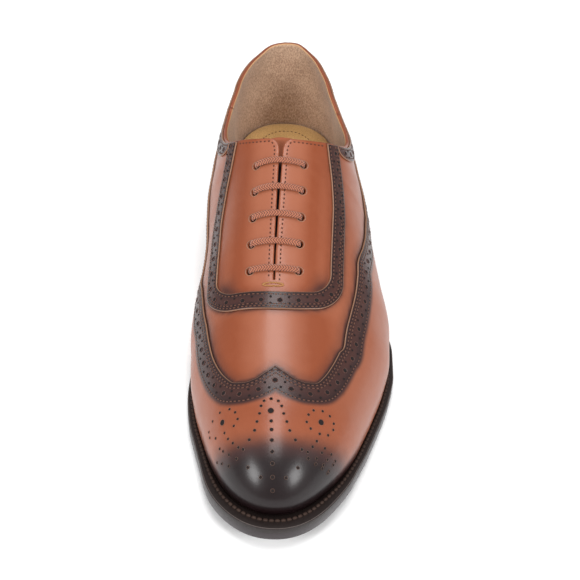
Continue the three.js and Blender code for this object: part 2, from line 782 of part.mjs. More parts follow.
// Places of the lace, each with the half sizes of its section: first the axis that starts along the shoe.
function lacePath() {
  const path = [];
  const put = (along, across, height, first, second) => {
    const { p, n } = upperFrame(along, across);
    path.push({ p: p.addScaledVector(n, height), first, second });
  };
  const order = [...rows].reverse();
  let side = -1;
  order.forEach((along, row) => {
    const start = side * eyeletHalfSpan;
    if (row === 0) put(along, start, laceUnder, WIDE * 0.9, THIN);
    put(along, start, -upperWall / 2, WIDE * 0.9, THIN);
    put(along, start * 0.985, laceOver * 0.55, WIDE * 0.9, THIN);
    for (let i = 0; i <= barSteps; i += 1)
      put(along, start * 0.87 * (1 - (2 * i) / barSteps), laceOver, WIDE, THIN);
    put(along, -start * 0.985, laceOver * 0.55, WIDE * 0.9, THIN);
    put(along, -start, -upperWall / 2, WIDE * 0.9, THIN);
    side = -side;
    const isLast = row === eyeletPairs - 1;
    if (isLast) {
      put(along, -start, laceUnder, WIDE * 0.9, THIN);
      return;
    }
    const next = order[row + 1];
    for (const [share, deep] of [[0.06, 0.93], [0.19, 1.03], [0.81, 1.03], [0.94, 0.93]])
      put(along + (next - along) * share, -start, laceUnder * deep, THIN, WIDE * 0.9);
  });
  return path;
}

const laceSides = 8;

// Oval tube through the lace's places. Its frame is carried along the path without twist.
function lace() {
  const path = lacePath();
  const tangent = (i) => {
    const [before, after] = [path[Math.max(0, i - 1)].p, path[Math.min(path.length - 1, i + 1)].p];
    return new THREE.Vector3().subVectors(after, before).normalize();
  };
  let first = new THREE.Vector3(0, 1, 0);
  const points = [];
  path.forEach((place, i) => {
    const t = tangent(i);
    first = first.addScaledVector(t, -first.dot(t)).normalize();
    const second = new THREE.Vector3().crossVectors(t, first);
    for (let k = 0; k < laceSides; k += 1) {
      const turn = (k / laceSides) * 2 * Math.PI;
      const around = first.clone().multiplyScalar(place.first * Math.cos(turn));
      points.push(place.p.clone().add(around.addScaledVector(second, place.second * Math.sin(turn))));
    }
  });
  const index = [];
  for (let i = 0; i + 1 < path.length; i += 1) {
    for (let k = 0; k < laceSides; k += 1) {
      const [a, b] = [i * laceSides + k, i * laceSides + ((k + 1) % laceSides)];
      index.push(a, b, b + laceSides, a, b + laceSides, a + laceSides);
    }
  }
  const end = (path.length - 1) * laceSides;
  for (let k = 1; k + 1 < laceSides; k += 1) index.push(0, k + 1, k, end, end + k, end + k + 1);
  return closedMesh(points, index);
}

const shoe = new THREE.Group();
const leather = { color: 0xa8552f, roughness: 0.42, metalness: 0 };
const darkLeather = { color: 0x4a3533, roughness: 0.45, metalness: 0 };
const soleLeather = { color: 0x2b2523, roughness: 0.4, metalness: 0 };
const rubber = { color: 0x1b1b1d, roughness: 0.7, metalness: 0 };
const lining = { color: 0xb98a4e, roughness: 0.8, metalness: 0 };
const cord = { color: 0xa05238, roughness: 0.75, metalness: 0 };

// The shapes above run from the heel towards +Y: mirrored here, they make a left shoe with its toe at -Y.
function add(name, geometry, finish) {
  const turned = geometry.clone().scale(1, -1, 1);
  const order = turned.index.array;
  for (let k = 0; k < order.length; k += 3) [order[k], order[k + 1]] = [order[k + 1], order[k]];
  const flat = turned.toNonIndexed();
  flat.computeVertexNormals();
  const mesh = new THREE.Mesh(flat, new THREE.MeshStandardMaterial(finish));
  mesh.name = name;
  shoe.add(mesh);
}

add("outsole", outsole(), soleLeather);
const strip = weltStrip();
add("welt", fromSolid(strip.intersect(slabAlong(breast + seat / 2, bigBox))), soleLeather);
add("heel_rand", fromSolid(strip.intersect(slabAlong(-bigBox, breast - seat / 2))), soleLeather);
const blockTop = (along) => underside(along / soleLength) - seat;
add("heel_block", heelLayer(() => topPieceThick + seat, blockTop, heelTaper, soleBevel), soleLeather);
add("heel_top_piece", heelLayer(() => 0, () => topPieceThick, heelTaper, heelTaper), rubber);
add("insole", insole(), lining);
add("upper", upper(), leather);
add("wing", overlay(wingLines, onWing), leather);
add("facing_band", overlay([above(insideBand, 0), outsideBand]), darkLeather);
add("collar_strip_outer", overlay(stripOn(1)), darkLeather);
add("collar_strip_inner", overlay(stripOn(-1)), darkLeather);
add("back_strap", overlay([onStrap]), leather);
add("tongue", tongue(), leather);
add("lace", lace(), cord);

const box = new THREE.Box3().setFromObject(shoe);
const middle = box.getCenter(new THREE.Vector3());
shoe.position.set(-middle.x, -middle.y, -box.min.z);
export default shoe;
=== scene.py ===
"""Left wing-tip lace-up shoe: finished leather, stitches, lace, sole, light and camera."""
import math

import bpy
import numpy as np
from mathutils import Matrix, Vector


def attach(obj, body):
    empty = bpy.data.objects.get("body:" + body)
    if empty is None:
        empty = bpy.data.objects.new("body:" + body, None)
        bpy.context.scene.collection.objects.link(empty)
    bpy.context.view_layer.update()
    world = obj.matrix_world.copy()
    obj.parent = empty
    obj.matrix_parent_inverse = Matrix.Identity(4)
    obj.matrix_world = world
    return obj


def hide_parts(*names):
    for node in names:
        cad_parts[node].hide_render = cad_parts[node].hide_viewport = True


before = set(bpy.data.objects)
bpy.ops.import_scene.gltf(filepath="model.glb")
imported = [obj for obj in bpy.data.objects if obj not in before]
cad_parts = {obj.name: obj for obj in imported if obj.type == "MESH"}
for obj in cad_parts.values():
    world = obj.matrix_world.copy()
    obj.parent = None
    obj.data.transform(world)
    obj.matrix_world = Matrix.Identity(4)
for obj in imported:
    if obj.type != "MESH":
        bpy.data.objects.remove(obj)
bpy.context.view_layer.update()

# Shoe coordinates are millimetres: across (+ to the outer side), along (from the back of the sole to the
# toe) and up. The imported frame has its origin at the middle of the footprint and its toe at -Y.
MIDDLE_LINE = -6.434
BACK_OF_SOLE = 154.347

SOLE_LENGTH = 309.0
BALL_WIDTH = 113.0
WAIST_WIDTH = 82.0
HEEL_WIDTH = 71.0
OUTSOLE_THICK = 5.2
WELT_THICK = 3.0
HEEL_HEIGHT = 25.0
TOP_PIECE_THICK = 6.0
HEEL_LENGTH = 72.0
HEEL_TAPER = 1.6
BREAST_RADIUS = 90.0
TOE_SPRING = 9.0
INSOLE_THICK = 8.0
TOE_MARGIN = 10.5
HEEL_MARGIN = 2.4
SIDE_MARGIN = 6.2
UPPER_WALL = 2.2
TOE_BOX_HEIGHT = 39.0
INSTEP_HEIGHT = 88.0
CONE_HEIGHT = 130.0
BACK_HEIGHT = 64.0
ANKLE_HEIGHT = 50.0
HEEL_FAN = 37.0
TOE_FAN = 44.0
FACING_LENGTH = 72.0
THROAT_GAP = 2.6
FLAP_CORNER = 6.5
BAND_WIDTH = 8.8
PANEL_CORNER = 10.0
BAND_CORNER = 14.0
PANEL_REACH = 6.5
STRIP_WIDTH = 8.5
STRIP_CORNER = 7.0
COLLAR_EDGE = 1.4
STRAP_WIDTH = 19.0
SEAM_GAP = 0.4
TONGUE_THICK = 2.0
TONGUE_HALF = 25.0
TONGUE_CORNER = 14.0
TONGUE_TIP = 1.5
TONGUE_UNDER_VAMP = 20.0
LACE_WIDTH = 3.4
LACE_THICK = 2.0
EYELET_PITCH = 15.4
EYELET_HALF_SPAN = 12.8
EYELET_RADIUS = 2.4
FIRST_EYELET = 6.0
SEAT = 0.3
WALL_PLAY = 0.4
OVERLAY_RISE = 1.15
WING_BAND = 9.9
WING_FILLET = 11.0
COLLAR_DIP = 2.6
DIP_ACROSS = (8, 17)
DIP_ALONG = (24, 60)
LACE_SIDES = 20
WELD = 0.004

HEEL, WAIST, BALL = HEEL_WIDTH, WAIST_WIDTH, BALL_WIDTH
CONE, INSTEP, TOE = CONE_HEIGHT, INSTEP_HEIGHT, TOE_BOX_HEIGHT

# along, width that the row follows, outer and inner half width in shares of it, bend in ball widths
SOLE_OUTLINE = [
    (0, HEEL, 0.49, 0.48, 0),
    (0.12, HEEL, 0.5, 0.5, 0),
    (0.22, HEEL, 0.53, 0.5, 0),
    (0.32, WAIST, 0.52, 0.43, 0),
    (0.42, WAIST, 0.6, 0.43, 0),
    (0.5, BALL, 0.5, 0.325, 0),
    (0.58, BALL, 0.553, 0.389, 0),
    (0.64, BALL, 0.55, 0.43, 0),
    (0.7, BALL, 0.518, 0.438, 0),
    (0.76, BALL, 0.465, 0.422, 0),
    (0.82, BALL, 0.405, 0.384, 0),
    (0.88, BALL, 0.343, 0.336, -0.007),
    (0.94, BALL, 0.296, 0.296, -0.02),
    (1, BALL, 0.262, 0.262, -0.023),
]
# length and squareness of the outline's rounded ends
HEEL_ROUND = (37.0, 2.25)
TOE_ROUND = (40.0, 2.2)
# along, share of the heel height, share of the toe spring
SOLE_UNDERSIDE = [
    (0, 1.04, 0),
    (0.12, 1, 0),
    (0.235, 0.93, 0),
    (0.32, 0.66, 0),
    (0.42, 0.3, 0),
    (0.52, 0.06, 0),
    (0.59, 0, 0),
    (0.7, 0, 0),
    (0.8, 0, 0.17),
    (0.9, 0, 0.52),
    (1, 0, 1),
]
# along, height that the row follows, ridge share, squareness, outer swell, inner swell, ridge shift
UPPER_SECTIONS = [
    (0.12, CONE, 1, 2.6, 0.16, 0.28, -0.035),
    (0.24, CONE, 0.88, 2.4, 0.25, 0.57, -0.036),
    (0.32, INSTEP, 1.1, 2.15, 0.22, 0.6, -0.039),
    (0.385, INSTEP, 1, 2, 0.18, 0.56, -0.041),
    (0.43, INSTEP, 0.965, 1.95, 0.14, 0.54, -0.044),
    (0.5, INSTEP, 0.88, 1.9, 0.1, 0.53, -0.049),
    (0.58, INSTEP, 0.74, 1.95, 0.06, 0.3, -0.053),
    (0.66, TOE, 1.39, 2.05, 0.05, 0.09, -0.051),
    (0.74, TOE, 1.18, 2.2, 0.04, 0.05, -0.041),
    (0.83, TOE, 1, 2.35, 0.04, 0.04, -0.025),
]
# along, outer and inner share by which the collar is narrower than the heel seat
COLLAR_PINCH = [
    (0, 0.4, 0.36),
    (0.065, 0.41, 0.33),
    (0.1, 0.38, 0.3),
    (0.13, 0.35, 0.27),
    (0.165, 0.31, 0.27),
    (0.21, 0.26, 0.28),
    (0.3, 0.14, 0.16),
    (0.36, 0.04, 0.04),
    (0.4, 0, 0),
]
# along, height that the row follows, share of it above the foot
TOPLINE = [
    (0, BACK_HEIGHT, 1),
    (0.08, BACK_HEIGHT, 0.93),
    (0.15, ANKLE_HEIGHT, 1.07),
    (0.2, ANKLE_HEIGHT, 1),
    (0.24, ANKLE_HEIGHT, 1.03),
    (0.28, ANKLE_HEIGHT, 1.13),
    (0.31, ANKLE_HEIGHT, 1.25),
    (0.335, INSTEP, 0.79),
    (0.36, INSTEP, 0.9),
    (0.385, INSTEP, 1.02),
    (0.42, INSTEP, 1.3),
]
# along, outer and inner share of the side margin
FOOT_MARGINS = [
    (0.1, 0.39, 0.39),
    (0.35, 0.58, 0.48),
    (0.65, 0.9, 0.52),
    (0.78, 0.94, 0.84),
    (0.9, 1, 0.97),
    (1, 1, 0.97),
]
# along, half width of the lace panel in ball widths
FACING_PANEL = [(0.32, 0.195), (0.36, 0.221), (0.39, 0.236), (0.425, 0.252), (0.48, 0.265), (0.6, 0.265)]
# along, outer and inner height of the wing's top edge in toe box heights
WING_SIDES = [
    (0, 1.5, 1.5),
    (0.12, 1.24, 1.24),
    (0.2, 1.06, 1.06),
    (0.3, 1.01, 0.96),
    (0.38, 1.04, 0.84),
    (0.44, 1.13, 0.76),
    (0.49, 1.25, 0.74),
    (0.53, 1.315, 0.8),
    (0.56, 1.27, 0.89),
    (0.6, 1.2, 0.92),
    (0.66, 1.12, 0.895),
    (0.72, 1.01, 0.885),
    (0.78, 0.93, 0.87),
]
# distance from the ridge in ball widths, place of the wing's front line in sole lengths
WING_POINTS = [
    (0, 0.7695),
    (0.045, 0.7815),
    (0.09, 0.793),
    (0.135, 0.798),
    (0.18, 0.797),
    (0.22, 0.784),
    (0.26, 0.762),
    (0.3, 0.735),
]


def curve(rows, value):
    """Monotone cubic through a table: a row's slope is the harmonic mean of those beside it, 0 at turns."""
    table = np.array([[row[0], value(row)] for row in rows], float)
    xs, ys = table.T
    step = np.diff(ys) / np.diff(xs)
    slope = np.concatenate([step[:1], np.zeros(len(xs) - 2), step[-1:]])
    a, b = step[:-1], step[1:]
    same = a * b > 0
    slope[1:-1][same] = 2 * a[same] * b[same] / (a[same] + b[same])

    def value_at(x):
        x = np.asarray(x, float)
        i = np.clip(np.searchsorted(xs, x, side="left") - 1, 0, len(xs) - 2)
        h = xs[i + 1] - xs[i]
        t = np.clip((x - xs[i]) / h, 0, 1)
        smooth = ys[i] * (1 + 2 * t) * (1 - t) ** 2 + h * slope[i] * t * (1 - t) ** 2
        smooth = smooth + ys[i + 1] * t * t * (3 - 2 * t) + h * slope[i + 1] * t * t * (t - 1)
        return smooth + slope[0] * np.minimum(0, x - xs[0]) + slope[-1] * np.maximum(0, x - xs[-1])

    return value_at


outer_half = curve(SOLE_OUTLINE, lambda row: row[1] * row[2])
inner_half = curve(SOLE_OUTLINE, lambda row: row[1] * row[3])
bend = curve(SOLE_OUTLINE, lambda row: row[4] * BALL_WIDTH)
underside = curve(SOLE_UNDERSIDE, lambda row: row[1] * HEEL_HEIGHT + row[2] * TOE_SPRING)
ridge_height = curve(UPPER_SECTIONS, lambda row: row[1] * row[2])
arch_square = curve(UPPER_SECTIONS, lambda row: row[3])
swell_out = curve(UPPER_SECTIONS, lambda row: row[4])
swell_in = curve(UPPER_SECTIONS, lambda row: row[5])
ridge_shift = curve(UPPER_SECTIONS, lambda row: row[6] * BALL_WIDTH)
pinch_out = curve(COLLAR_PINCH, lambda row: row[1])
pinch_in = curve(COLLAR_PINCH, lambda row: row[2])
edge_height = curve(TOPLINE, lambda row: row[1] * row[2])
margin_out = curve(FOOT_MARGINS, lambda row: row[1] * SIDE_MARGIN)
margin_in = curve(FOOT_MARGINS, lambda row: row[2] * SIDE_MARGIN)
panel_half = curve(FACING_PANEL, lambda row: row[1] * BALL_WIDTH)
wing_outer = curve(WING_SIDES, lambda row: row[1] * TOE_BOX_HEIGHT)
wing_inner = curve(WING_SIDES, lambda row: row[2] * TOE_BOX_HEIGHT)
wing_front = curve(WING_POINTS, lambda row: row[1] * SOLE_LENGTH)

FOOT_START = HEEL_MARGIN
FOOT_END = SOLE_LENGTH - TOE_MARGIN
HEEL_CENTRE = FOOT_START + HEEL_FAN
TOE_CENTRE = FOOT_END - TOE_FAN
FACING_TOP = SOLE_LENGTH * 0.381
SLIT_END = FACING_TOP + FACING_LENGTH
PANEL_FRONT = SLIT_END + PANEL_REACH


def sole_top(along):
    """Top of the outsole: the underside's height and the outsole's thickness."""
    return underside(along / SOLE_LENGTH) + OUTSOLE_THICK


def foot(along):
    """Foot line of the upper: the outsole's top and the welt, with a seat below and above it."""
    return sole_top(along) + SEAT + WELT_THICK + SEAT


def ridge_top(along):
    """Highest line of the last: the foot line and the ridge's height."""
    return foot(along) + ridge_height(along / SOLE_LENGTH)


def round_end(distance, size):
    """Quarter of a superellipse that grows from 0 to 1 over its length."""
    length, square = size
    rest = 1 - np.clip(distance / length, 0, 1)
    return (1 - rest**square) ** (1 / square)


def half_width(side, along, share, extra):
    """Half width of the sole's outline on one side, less extra and share times the upper's margin."""
    u = along / SOLE_LENGTH
    full = outer_half(u) if side > 0 else inner_half(u)
    margin = np.maximum(HEEL_MARGIN, margin_out(u) if side > 0 else margin_in(u))
    ends = round_end(along - share * HEEL_MARGIN - extra, HEEL_ROUND)
    ends = ends * round_end(SOLE_LENGTH - share * TOE_MARGIN - extra - along, TOE_ROUND)
    return (full - share * margin - extra) * ends


def reach_foot(side, centre, forward, angle):
    """Distance from spine points to the foot line, turned by angle from the axis, by bisection."""
    near = np.zeros_like(centre)
    far = np.full_like(centre, 2 * BALL_WIDTH)
    for _ in range(50):
        r = (near + far) / 2
        along = centre + forward * r * np.cos(angle)
        across = ridge_shift(centre / SOLE_LENGTH) + side * r * np.sin(angle)
        inside = (along > FOOT_START) & (along < FOOT_END)
        inside &= side * (across - bend(along / SOLE_LENGTH)) < half_width(side, along, 1, 0)
        near = np.where(inside, r, near)
        far = np.where(inside, far, r)
    return near


def stations(centre, forward, angle):
    """Spine points and the foot points to both sides, for arrays of stations."""
    shift = ridge_shift(centre / SOLE_LENGTH)

    def foot_point(side):
        r = reach_foot(side, centre, forward, angle)
        return np.stack([shift + side * r * np.sin(angle), centre + forward * r * np.cos(angle)])

    outer = foot_point(1)
    inner = np.where(angle == 0, outer, foot_point(-1))
    lean = np.where(forward > 0, ridge_top(centre + 0.5) - ridge_top(centre - 0.5), 0)
    return {
        "centre": centre,
        "shift": shift,
        "lean": lean,
        "sideways": np.sin(angle) ** 2,
        "outer": outer,
        "inner": inner,
    }


def arch(at, side, climb):
    """Superelliptic arch over each station: out = reach cos, rise = reach sin of the climb's quarter turn.
    The out part swells above the foot and is pinched in towards the collar, and the toe leans with its
    ridge."""
    u = at["centre"] / SOLE_LENGTH
    square = arch_square(u)
    angle = climb * math.pi / 2
    reach = (np.cos(angle) ** square + np.sin(angle) ** square) ** (-1 / square)
    rise = reach * np.sin(angle)
    tucked = (1 - np.clip(rise / 0.45, 0, 1)) ** 2
    side_swell = np.where(side > 0, swell_out(u), swell_in(u))
    swell = 1 + (0.06 + (side_swell - 0.06) * at["sideways"]) * (1 - tucked)
    out = np.where(climb == 1, 0, reach * np.cos(angle) * swell)
    x, along = np.where(side > 0, at["outer"], at["inner"])
    low = foot(along)
    there = at["centre"] + (along - at["centre"]) * out
    high = ridge_top(at["centre"]) + at["lean"] * (there - at["centre"])
    climbed = (high - low) * rise
    place = np.maximum(0, there) / SOLE_LENGTH
    pinched = np.where(side > 0, pinch_out(place), pinch_in(place))
    pinched = np.where(there > 0.4 * SOLE_LENGTH, 0, pinched)
    narrowed = np.maximum(0.2, 1 - pinched * climbed / BACK_HEIGHT)
    return np.stack([at["shift"] + (x - at["shift"]) * out * narrowed, there, low + climbed], -1)


def face_normals(p, f):
    """Cross product of two sides of each triangle."""
    return np.cross(p[f[:, 1]] - p[f[:, 0]], p[f[:, 2]] - p[f[:, 0]])


def face_sides(f):
    """The sides of each triangle, as pairs of point numbers."""
    return np.concatenate([f[:, [0, 1]], f[:, [1, 2]], f[:, [2, 0]]])


def smooth_normals(p, f):
    """Normal at each point: the area-weighted mean of the faces that meet there."""
    flat = face_normals(p, f)
    n = np.zeros_like(p)
    for k in range(3):
        np.add.at(n, f[:, k], flat)
    return n / np.maximum(np.linalg.norm(n, axis=1, keepdims=True), 1e-12)


def grid_faces(rows, columns, closed_rows=False, closed_columns=False):
    """Two triangles for each cell of a grid of points numbered row by row."""
    i = np.arange(rows if closed_rows else rows - 1)[:, None]
    j = np.arange(columns if closed_columns else columns - 1)[None, :]
    a = i * columns + j
    b = i * columns + (j + 1) % columns
    c = (i + 1) % rows * columns + j
    d = (i + 1) % rows * columns + (j + 1) % columns
    return np.concatenate([np.stack([a, b, c], -1).reshape(-1, 3), np.stack([b, d, c], -1).reshape(-1, 3)])


def welded(p, f):
    """Merges points that coincide and drops the triangles that collapse."""
    cells = np.round(p / WELD).astype(np.int64)
    _, first, back = np.unique(cells, axis=0, return_index=True, return_inverse=True)
    f = back.reshape(-1)[f]
    f = f[(f[:, 0] != f[:, 1]) & (f[:, 1] != f[:, 2]) & (f[:, 2] != f[:, 0])]
    return p[first], f


def last_sheet():
    """The whole last as one open sheet: arches over every station, fanned round the heel and the toe, finer
    where the lace panel lies."""
    quarter = math.pi / 2
    heel = np.linspace(0, quarter, 27)[:-1]
    middle = np.concatenate([np.linspace(HEEL_CENTRE, 108, 36)[:-1], np.linspace(108, 200, 93)[:-1]])
    middle = np.concatenate([middle, np.linspace(200, TOE_CENTRE, 28)])
    toe = np.linspace(quarter, 0, 31)[1:]
    centre = np.concatenate([np.full(len(heel), HEEL_CENTRE), middle, np.full(len(toe), TOE_CENTRE)])
    forward = np.where(np.arange(len(centre)) < len(heel), -1.0, 1.0)
    angle = np.concatenate([heel, np.full(len(middle), quarter), toe])
    at = {name: value[..., None] for name, value in stations(centre, forward, angle).items()}
    up = np.concatenate([np.linspace(0, 0.7, 36)[:-1], np.linspace(0.7, 1, 34)])
    climb = np.concatenate([up, up[-2::-1]])
    side = np.where(np.arange(len(climb)) < len(up), -1, 1)
    p = arch(at, side[None, :], climb[None, :])
    rows, columns = p.shape[:2]
    p, f = welded(p.reshape(-1, 3), grid_faces(rows, columns))
    return {"p": p, "n": smooth_normals(p, f), "f": f}


def split_along(sheet, field):
    """Splits the triangles of a sheet along a field's zero line, found on each edge by false position."""
    p, n, f = sheet["p"], sheet["n"], sheet["f"]
    g = field(p)
    g = np.where(np.abs(g) < 0.03, 0, g)
    ends = np.unique(np.sort(face_sides(f), axis=1), axis=0)
    ends = ends[g[ends[:, 0]] * g[ends[:, 1]] < 0]
    if not len(ends):
        return sheet
    a, b = ends.T
    ga, gb = g[a], g[b]
    t = ga / (ga - gb)
    for _ in range(3):
        middle = p[a] + (p[b] - p[a]) * t[:, None]
        gm = field(middle)
        before = gm * ga > 0
        better = np.where(before, t + (1 - t) * gm / (gm - gb), t * ga / (ga - gm))
        t = np.clip(np.where(np.abs(gm) > 1e-3, better, t), 0.02, 0.98)
    t = t[:, None]
    made = len(p) + np.arange(len(ends))
    cut_n = n[a] + (n[b] - n[a]) * t
    keys = a.astype(np.int64) * (len(p) + 1) + b
    sign = np.sign(g)[f]
    crossing = (sign.min(1) < 0) & (sign.max(1) > 0)
    kept = f[~crossing]
    f, sign = f[crossing], sign[crossing]

    def cut(i, j):
        low, high = np.minimum(i, j), np.maximum(i, j)
        return made[np.searchsorted(keys, low.astype(np.int64) * (len(p) + 1) + high)]

    has_zero = (sign == 0).any(1)
    lone = np.where(sign.sum(1) > 0, -1, 1)
    turn = np.where(has_zero, (sign == 0).argmax(1), (sign == lone[:, None]).argmax(1))
    f = np.take_along_axis(f, (turn[:, None] + np.arange(3)) % 3, axis=1)
    z, w = f[has_zero], f[~has_zero]
    zc = cut(z[:, 1], z[:, 2])
    ab, ac = cut(w[:, 0], w[:, 1]), cut(w[:, 0], w[:, 2])
    parts = [
        kept,
        np.stack([z[:, 0], z[:, 1], zc], 1),
        np.stack([z[:, 0], zc, z[:, 2]], 1),
        np.stack([w[:, 0], ab, ac], 1),
        np.stack([ab, w[:, 1], w[:, 2]], 1),
        np.stack([ab, w[:, 2], ac], 1),
    ]
    p = np.concatenate([p, p[a] + (p[b] - p[a]) * t])
    n = np.concatenate([n, cut_n / np.linalg.norm(cut_n, axis=1, keepdims=True)])
    return {"p": p, "n": n, "f": np.concatenate(parts)}


def carve(sheet, fields, keep=None):
    """The part of a sheet where each field is below 0, or keep is, split along the fields' zero lines."""
    for field in fields:
        sheet = split_along(sheet, field)
    f = sheet["f"]
    middle = sheet["p"][f].mean(1)
    level = keep(middle) if keep else np.maximum.reduce([field(middle) for field in fields])
    used, back = np.unique(f[level < 0], return_inverse=True)
    return {"p": sheet["p"][used], "n": sheet["n"][used], "f": back.reshape(-1, 3)}


def across(p):
    """Distance to the outer side of the ridge, in plan."""
    return p[:, 0] - ridge_shift(p[:, 1] / SOLE_LENGTH)


def above_foot(p):
    """Height above the foot line."""
    return p[:, 2] - foot(p[:, 1])


def below_topline(p):
    """Height above the collar's edge, which dips a little beside the back strap."""
    dip = smoothstep(*DIP_ACROSS, np.abs(across(p))) * (1 - smoothstep(*DIP_ALONG, p[:, 1]))
    return above_foot(p) - edge_height(p[:, 1] / SOLE_LENGTH) + COLLAR_DIP * dip


def inside_slit(p):
    """Signed distance inside the slit, which narrows towards its front and opens round the flaps' corners."""
    gap = THROAT_GAP * (0.5 + 0.5 * np.clip((SLIT_END - p[:, 1]) / FACING_LENGTH, 0, 1))
    turn = np.clip((FACING_TOP + FLAP_CORNER - p[:, 1]) / FLAP_CORNER, 0, 1)
    return gap / 2 + 0.85 * FLAP_CORNER * (1 - np.sqrt(1 - turn * turn)) - np.abs(across(p))


def rounded_corner(a, b, radius):
    """Meeting of two half spaces with a rounded corner, from their signed distances."""
    corner = np.hypot(np.maximum(a + radius, 0), np.maximum(b + radius, 0))
    return corner + np.minimum(np.maximum(a, b), -radius)


# shares of a border that the lace panel grows by at its outer, inner and front side
BORDER_SHARES = (0.7, 0.5, 0.95)
FRONT_BOW = 0.68
# where the panel ends at its back, in sole lengths, and how low it may reach, in instep heights
PANEL_BACK = 0.26
PANEL_LOW = 0.36


def outside_panel(p, border, corner):
    """Distance outside the lace panel grown by a border, less on the steep sides, its front line bowed."""
    side_place = across(p)
    grown = np.where(side_place > 0, *BORDER_SHARES[:2]) * border
    side = np.abs(side_place) - panel_half(p[:, 1] / SOLE_LENGTH) - grown
    front = p[:, 1] - PANEL_FRONT - BORDER_SHARES[2] * border + FRONT_BOW / BALL_WIDTH * side_place**2
    outside = np.maximum(rounded_corner(side, front, corner), SOLE_LENGTH * PANEL_BACK - p[:, 1])
    return np.maximum(outside, INSTEP_HEIGHT * PANEL_LOW - above_foot(p))


def inside_band(p):
    """Distance outside the lace panel, above 0 on the band round it."""
    return outside_panel(p, 0, PANEL_CORNER)


def outside_band(p):
    """Distance outside the lace panel and its band."""
    return outside_panel(p, BAND_WIDTH, BAND_CORNER)


def outside_strip(p):
    """Distance below the collar's strip."""
    return -below_topline(p) - COLLAR_EDGE - STRIP_WIDTH


def outside_wing(p):
    """Below 0 on the wing: in front of its W line or below its side line, with a fillet between them."""
    side_place = across(p)
    front = wing_front(np.minimum(0.3, np.abs(side_place) / BALL_WIDTH)) - p[:, 1]
    u = np.clip(p[:, 1] / SOLE_LENGTH, 0, 1)
    side = above_foot(p) - np.where(side_place > 0, wing_outer(u), wing_inner(u))
    blend = np.maximum(WING_FILLET - np.abs(front - side), 0) / WING_FILLET
    return np.minimum(front, side) - blend**2 * WING_FILLET / 4


def from_strap(p):
    """Distance outside the back strap's sides, far outside in front of the heel's centre."""
    return np.where(p[:, 1] > HEEL_CENTRE, 2 * SOLE_LENGTH, np.abs(across(p)) - STRAP_WIDTH / 2)


def collar_end(p):
    """Distance outside the collar's strip where it ends at the band, with a rounded corner."""
    return rounded_corner(outside_strip(p), 2 * SEAM_GAP - outside_band(p), STRIP_CORNER)


def offset_field(field, by):
    """The field less a distance."""
    return lambda p: field(p) - by


def negative(field, level=0.0):
    """A level less the field, so that it is below 0 on the field's other side."""
    return lambda p: level - field(p)


def trace(sheet, field):
    """Zero lines of a field on a sheet, as chains of points with normals, longest first."""
    p, n, f = sheet["p"], sheet["n"], sheet["f"]
    g = field(p)
    g = np.where(np.abs(g) < 1e-6, 1e-6, g)
    ends = np.sort(face_sides(f), axis=1)
    crossed = (g[ends[:, 0]] * g[ends[:, 1]] < 0).reshape(3, -1)
    keys = (ends[:, 0].astype(np.int64) * (len(p) + 1) + ends[:, 1]).reshape(3, -1)
    both = crossed.sum(0) == 2
    if not both.any():
        return []
    pair = keys[:, both].T[crossed[:, both].T].reshape(-1, 2)
    nodes, back = np.unique(pair, return_inverse=True)
    pair = back.reshape(-1, 2)
    a, b = nodes // (len(p) + 1), nodes % (len(p) + 1)
    t = (g[a] / (g[a] - g[b]))[:, None]
    points = p[a] + (p[b] - p[a]) * t
    normals = n[a] + (n[b] - n[a]) * t
    links = [[] for _ in nodes]
    for i, j in pair.tolist():
        links[i].append(j)
        links[j].append(i)
    seen = np.zeros(len(nodes), bool)
    chains = []
    for start in sorted(range(len(nodes)), key=lambda i: len(links[i]) != 1):
        if seen[start]:
            continue
        chain = [start]
        seen[start] = True
        while True:
            ahead = [k for k in links[chain[-1]] if not seen[k]]
            if not ahead:
                break
            seen[ahead[0]] = True
            chain.append(ahead[0])
        if len(chain) > 2 and chain[0] in links[chain[-1]]:
            chain.append(chain[0])
        chains.append((points[chain], normals[chain]))
    return sorted(chains, key=lambda c: -len(c[0]))


def even_steps(line, pitch, start=0.5):
    """Places along a chain at an even pitch: point, direction of the line, normal of the surface."""
    points, normals = line
    length = np.concatenate([[0], np.cumsum(np.linalg.norm(np.diff(points, axis=0), axis=1))])
    keep = np.concatenate([[True], np.diff(length) > 1e-6])
    points, normals, length = points[keep], normals[keep], length[keep]
    s = np.arange(start * pitch, length[-1], pitch)

    def at(values, where):
        return np.stack([np.interp(where, length, values[:, k]) for k in range(3)], 1)

    ahead = at(points, np.minimum(s + 0.6, length[-1])) - at(points, np.maximum(s - 0.6, 0))
    normal = at(normals, s)
    normal /= np.linalg.norm(normal, axis=1, keepdims=True)
    ahead -= normal * (ahead * normal).sum(1, keepdims=True)
    ahead /= np.maximum(np.linalg.norm(ahead, axis=1, keepdims=True), 1e-9)
    return at(points, s), ahead, normal


def distance_to(p, lines):
    """Shortest distance from each point to a set of chains, measured to the nearest short piece of them."""
    dense = np.concatenate([even_steps(line, 0.7)[0] for line in lines])
    best = np.full(len(p), 1e9)
    for start in range(0, len(p), 1500):
        block = p[start : start + 1500]
        d = ((block[:, None, :] - dense[None, :, :]) ** 2).sum(-1)
        best[start : start + 1500] = np.sqrt(d.min(1))
    return best


def smoothstep(low, high, x):
    """3 t^2 - 2 t^3 of the share t of the way from low to high."""
    t = np.clip((x - low) / (high - low), 0, 1)
    return t * t * (3 - 2 * t)


def placed(p):
    """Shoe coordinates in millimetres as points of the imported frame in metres."""
    return np.stack([p[:, 0] + MIDDLE_LINE, BACK_OF_SOLE - p[:, 1], p[:, 2]], 1) * 0.001


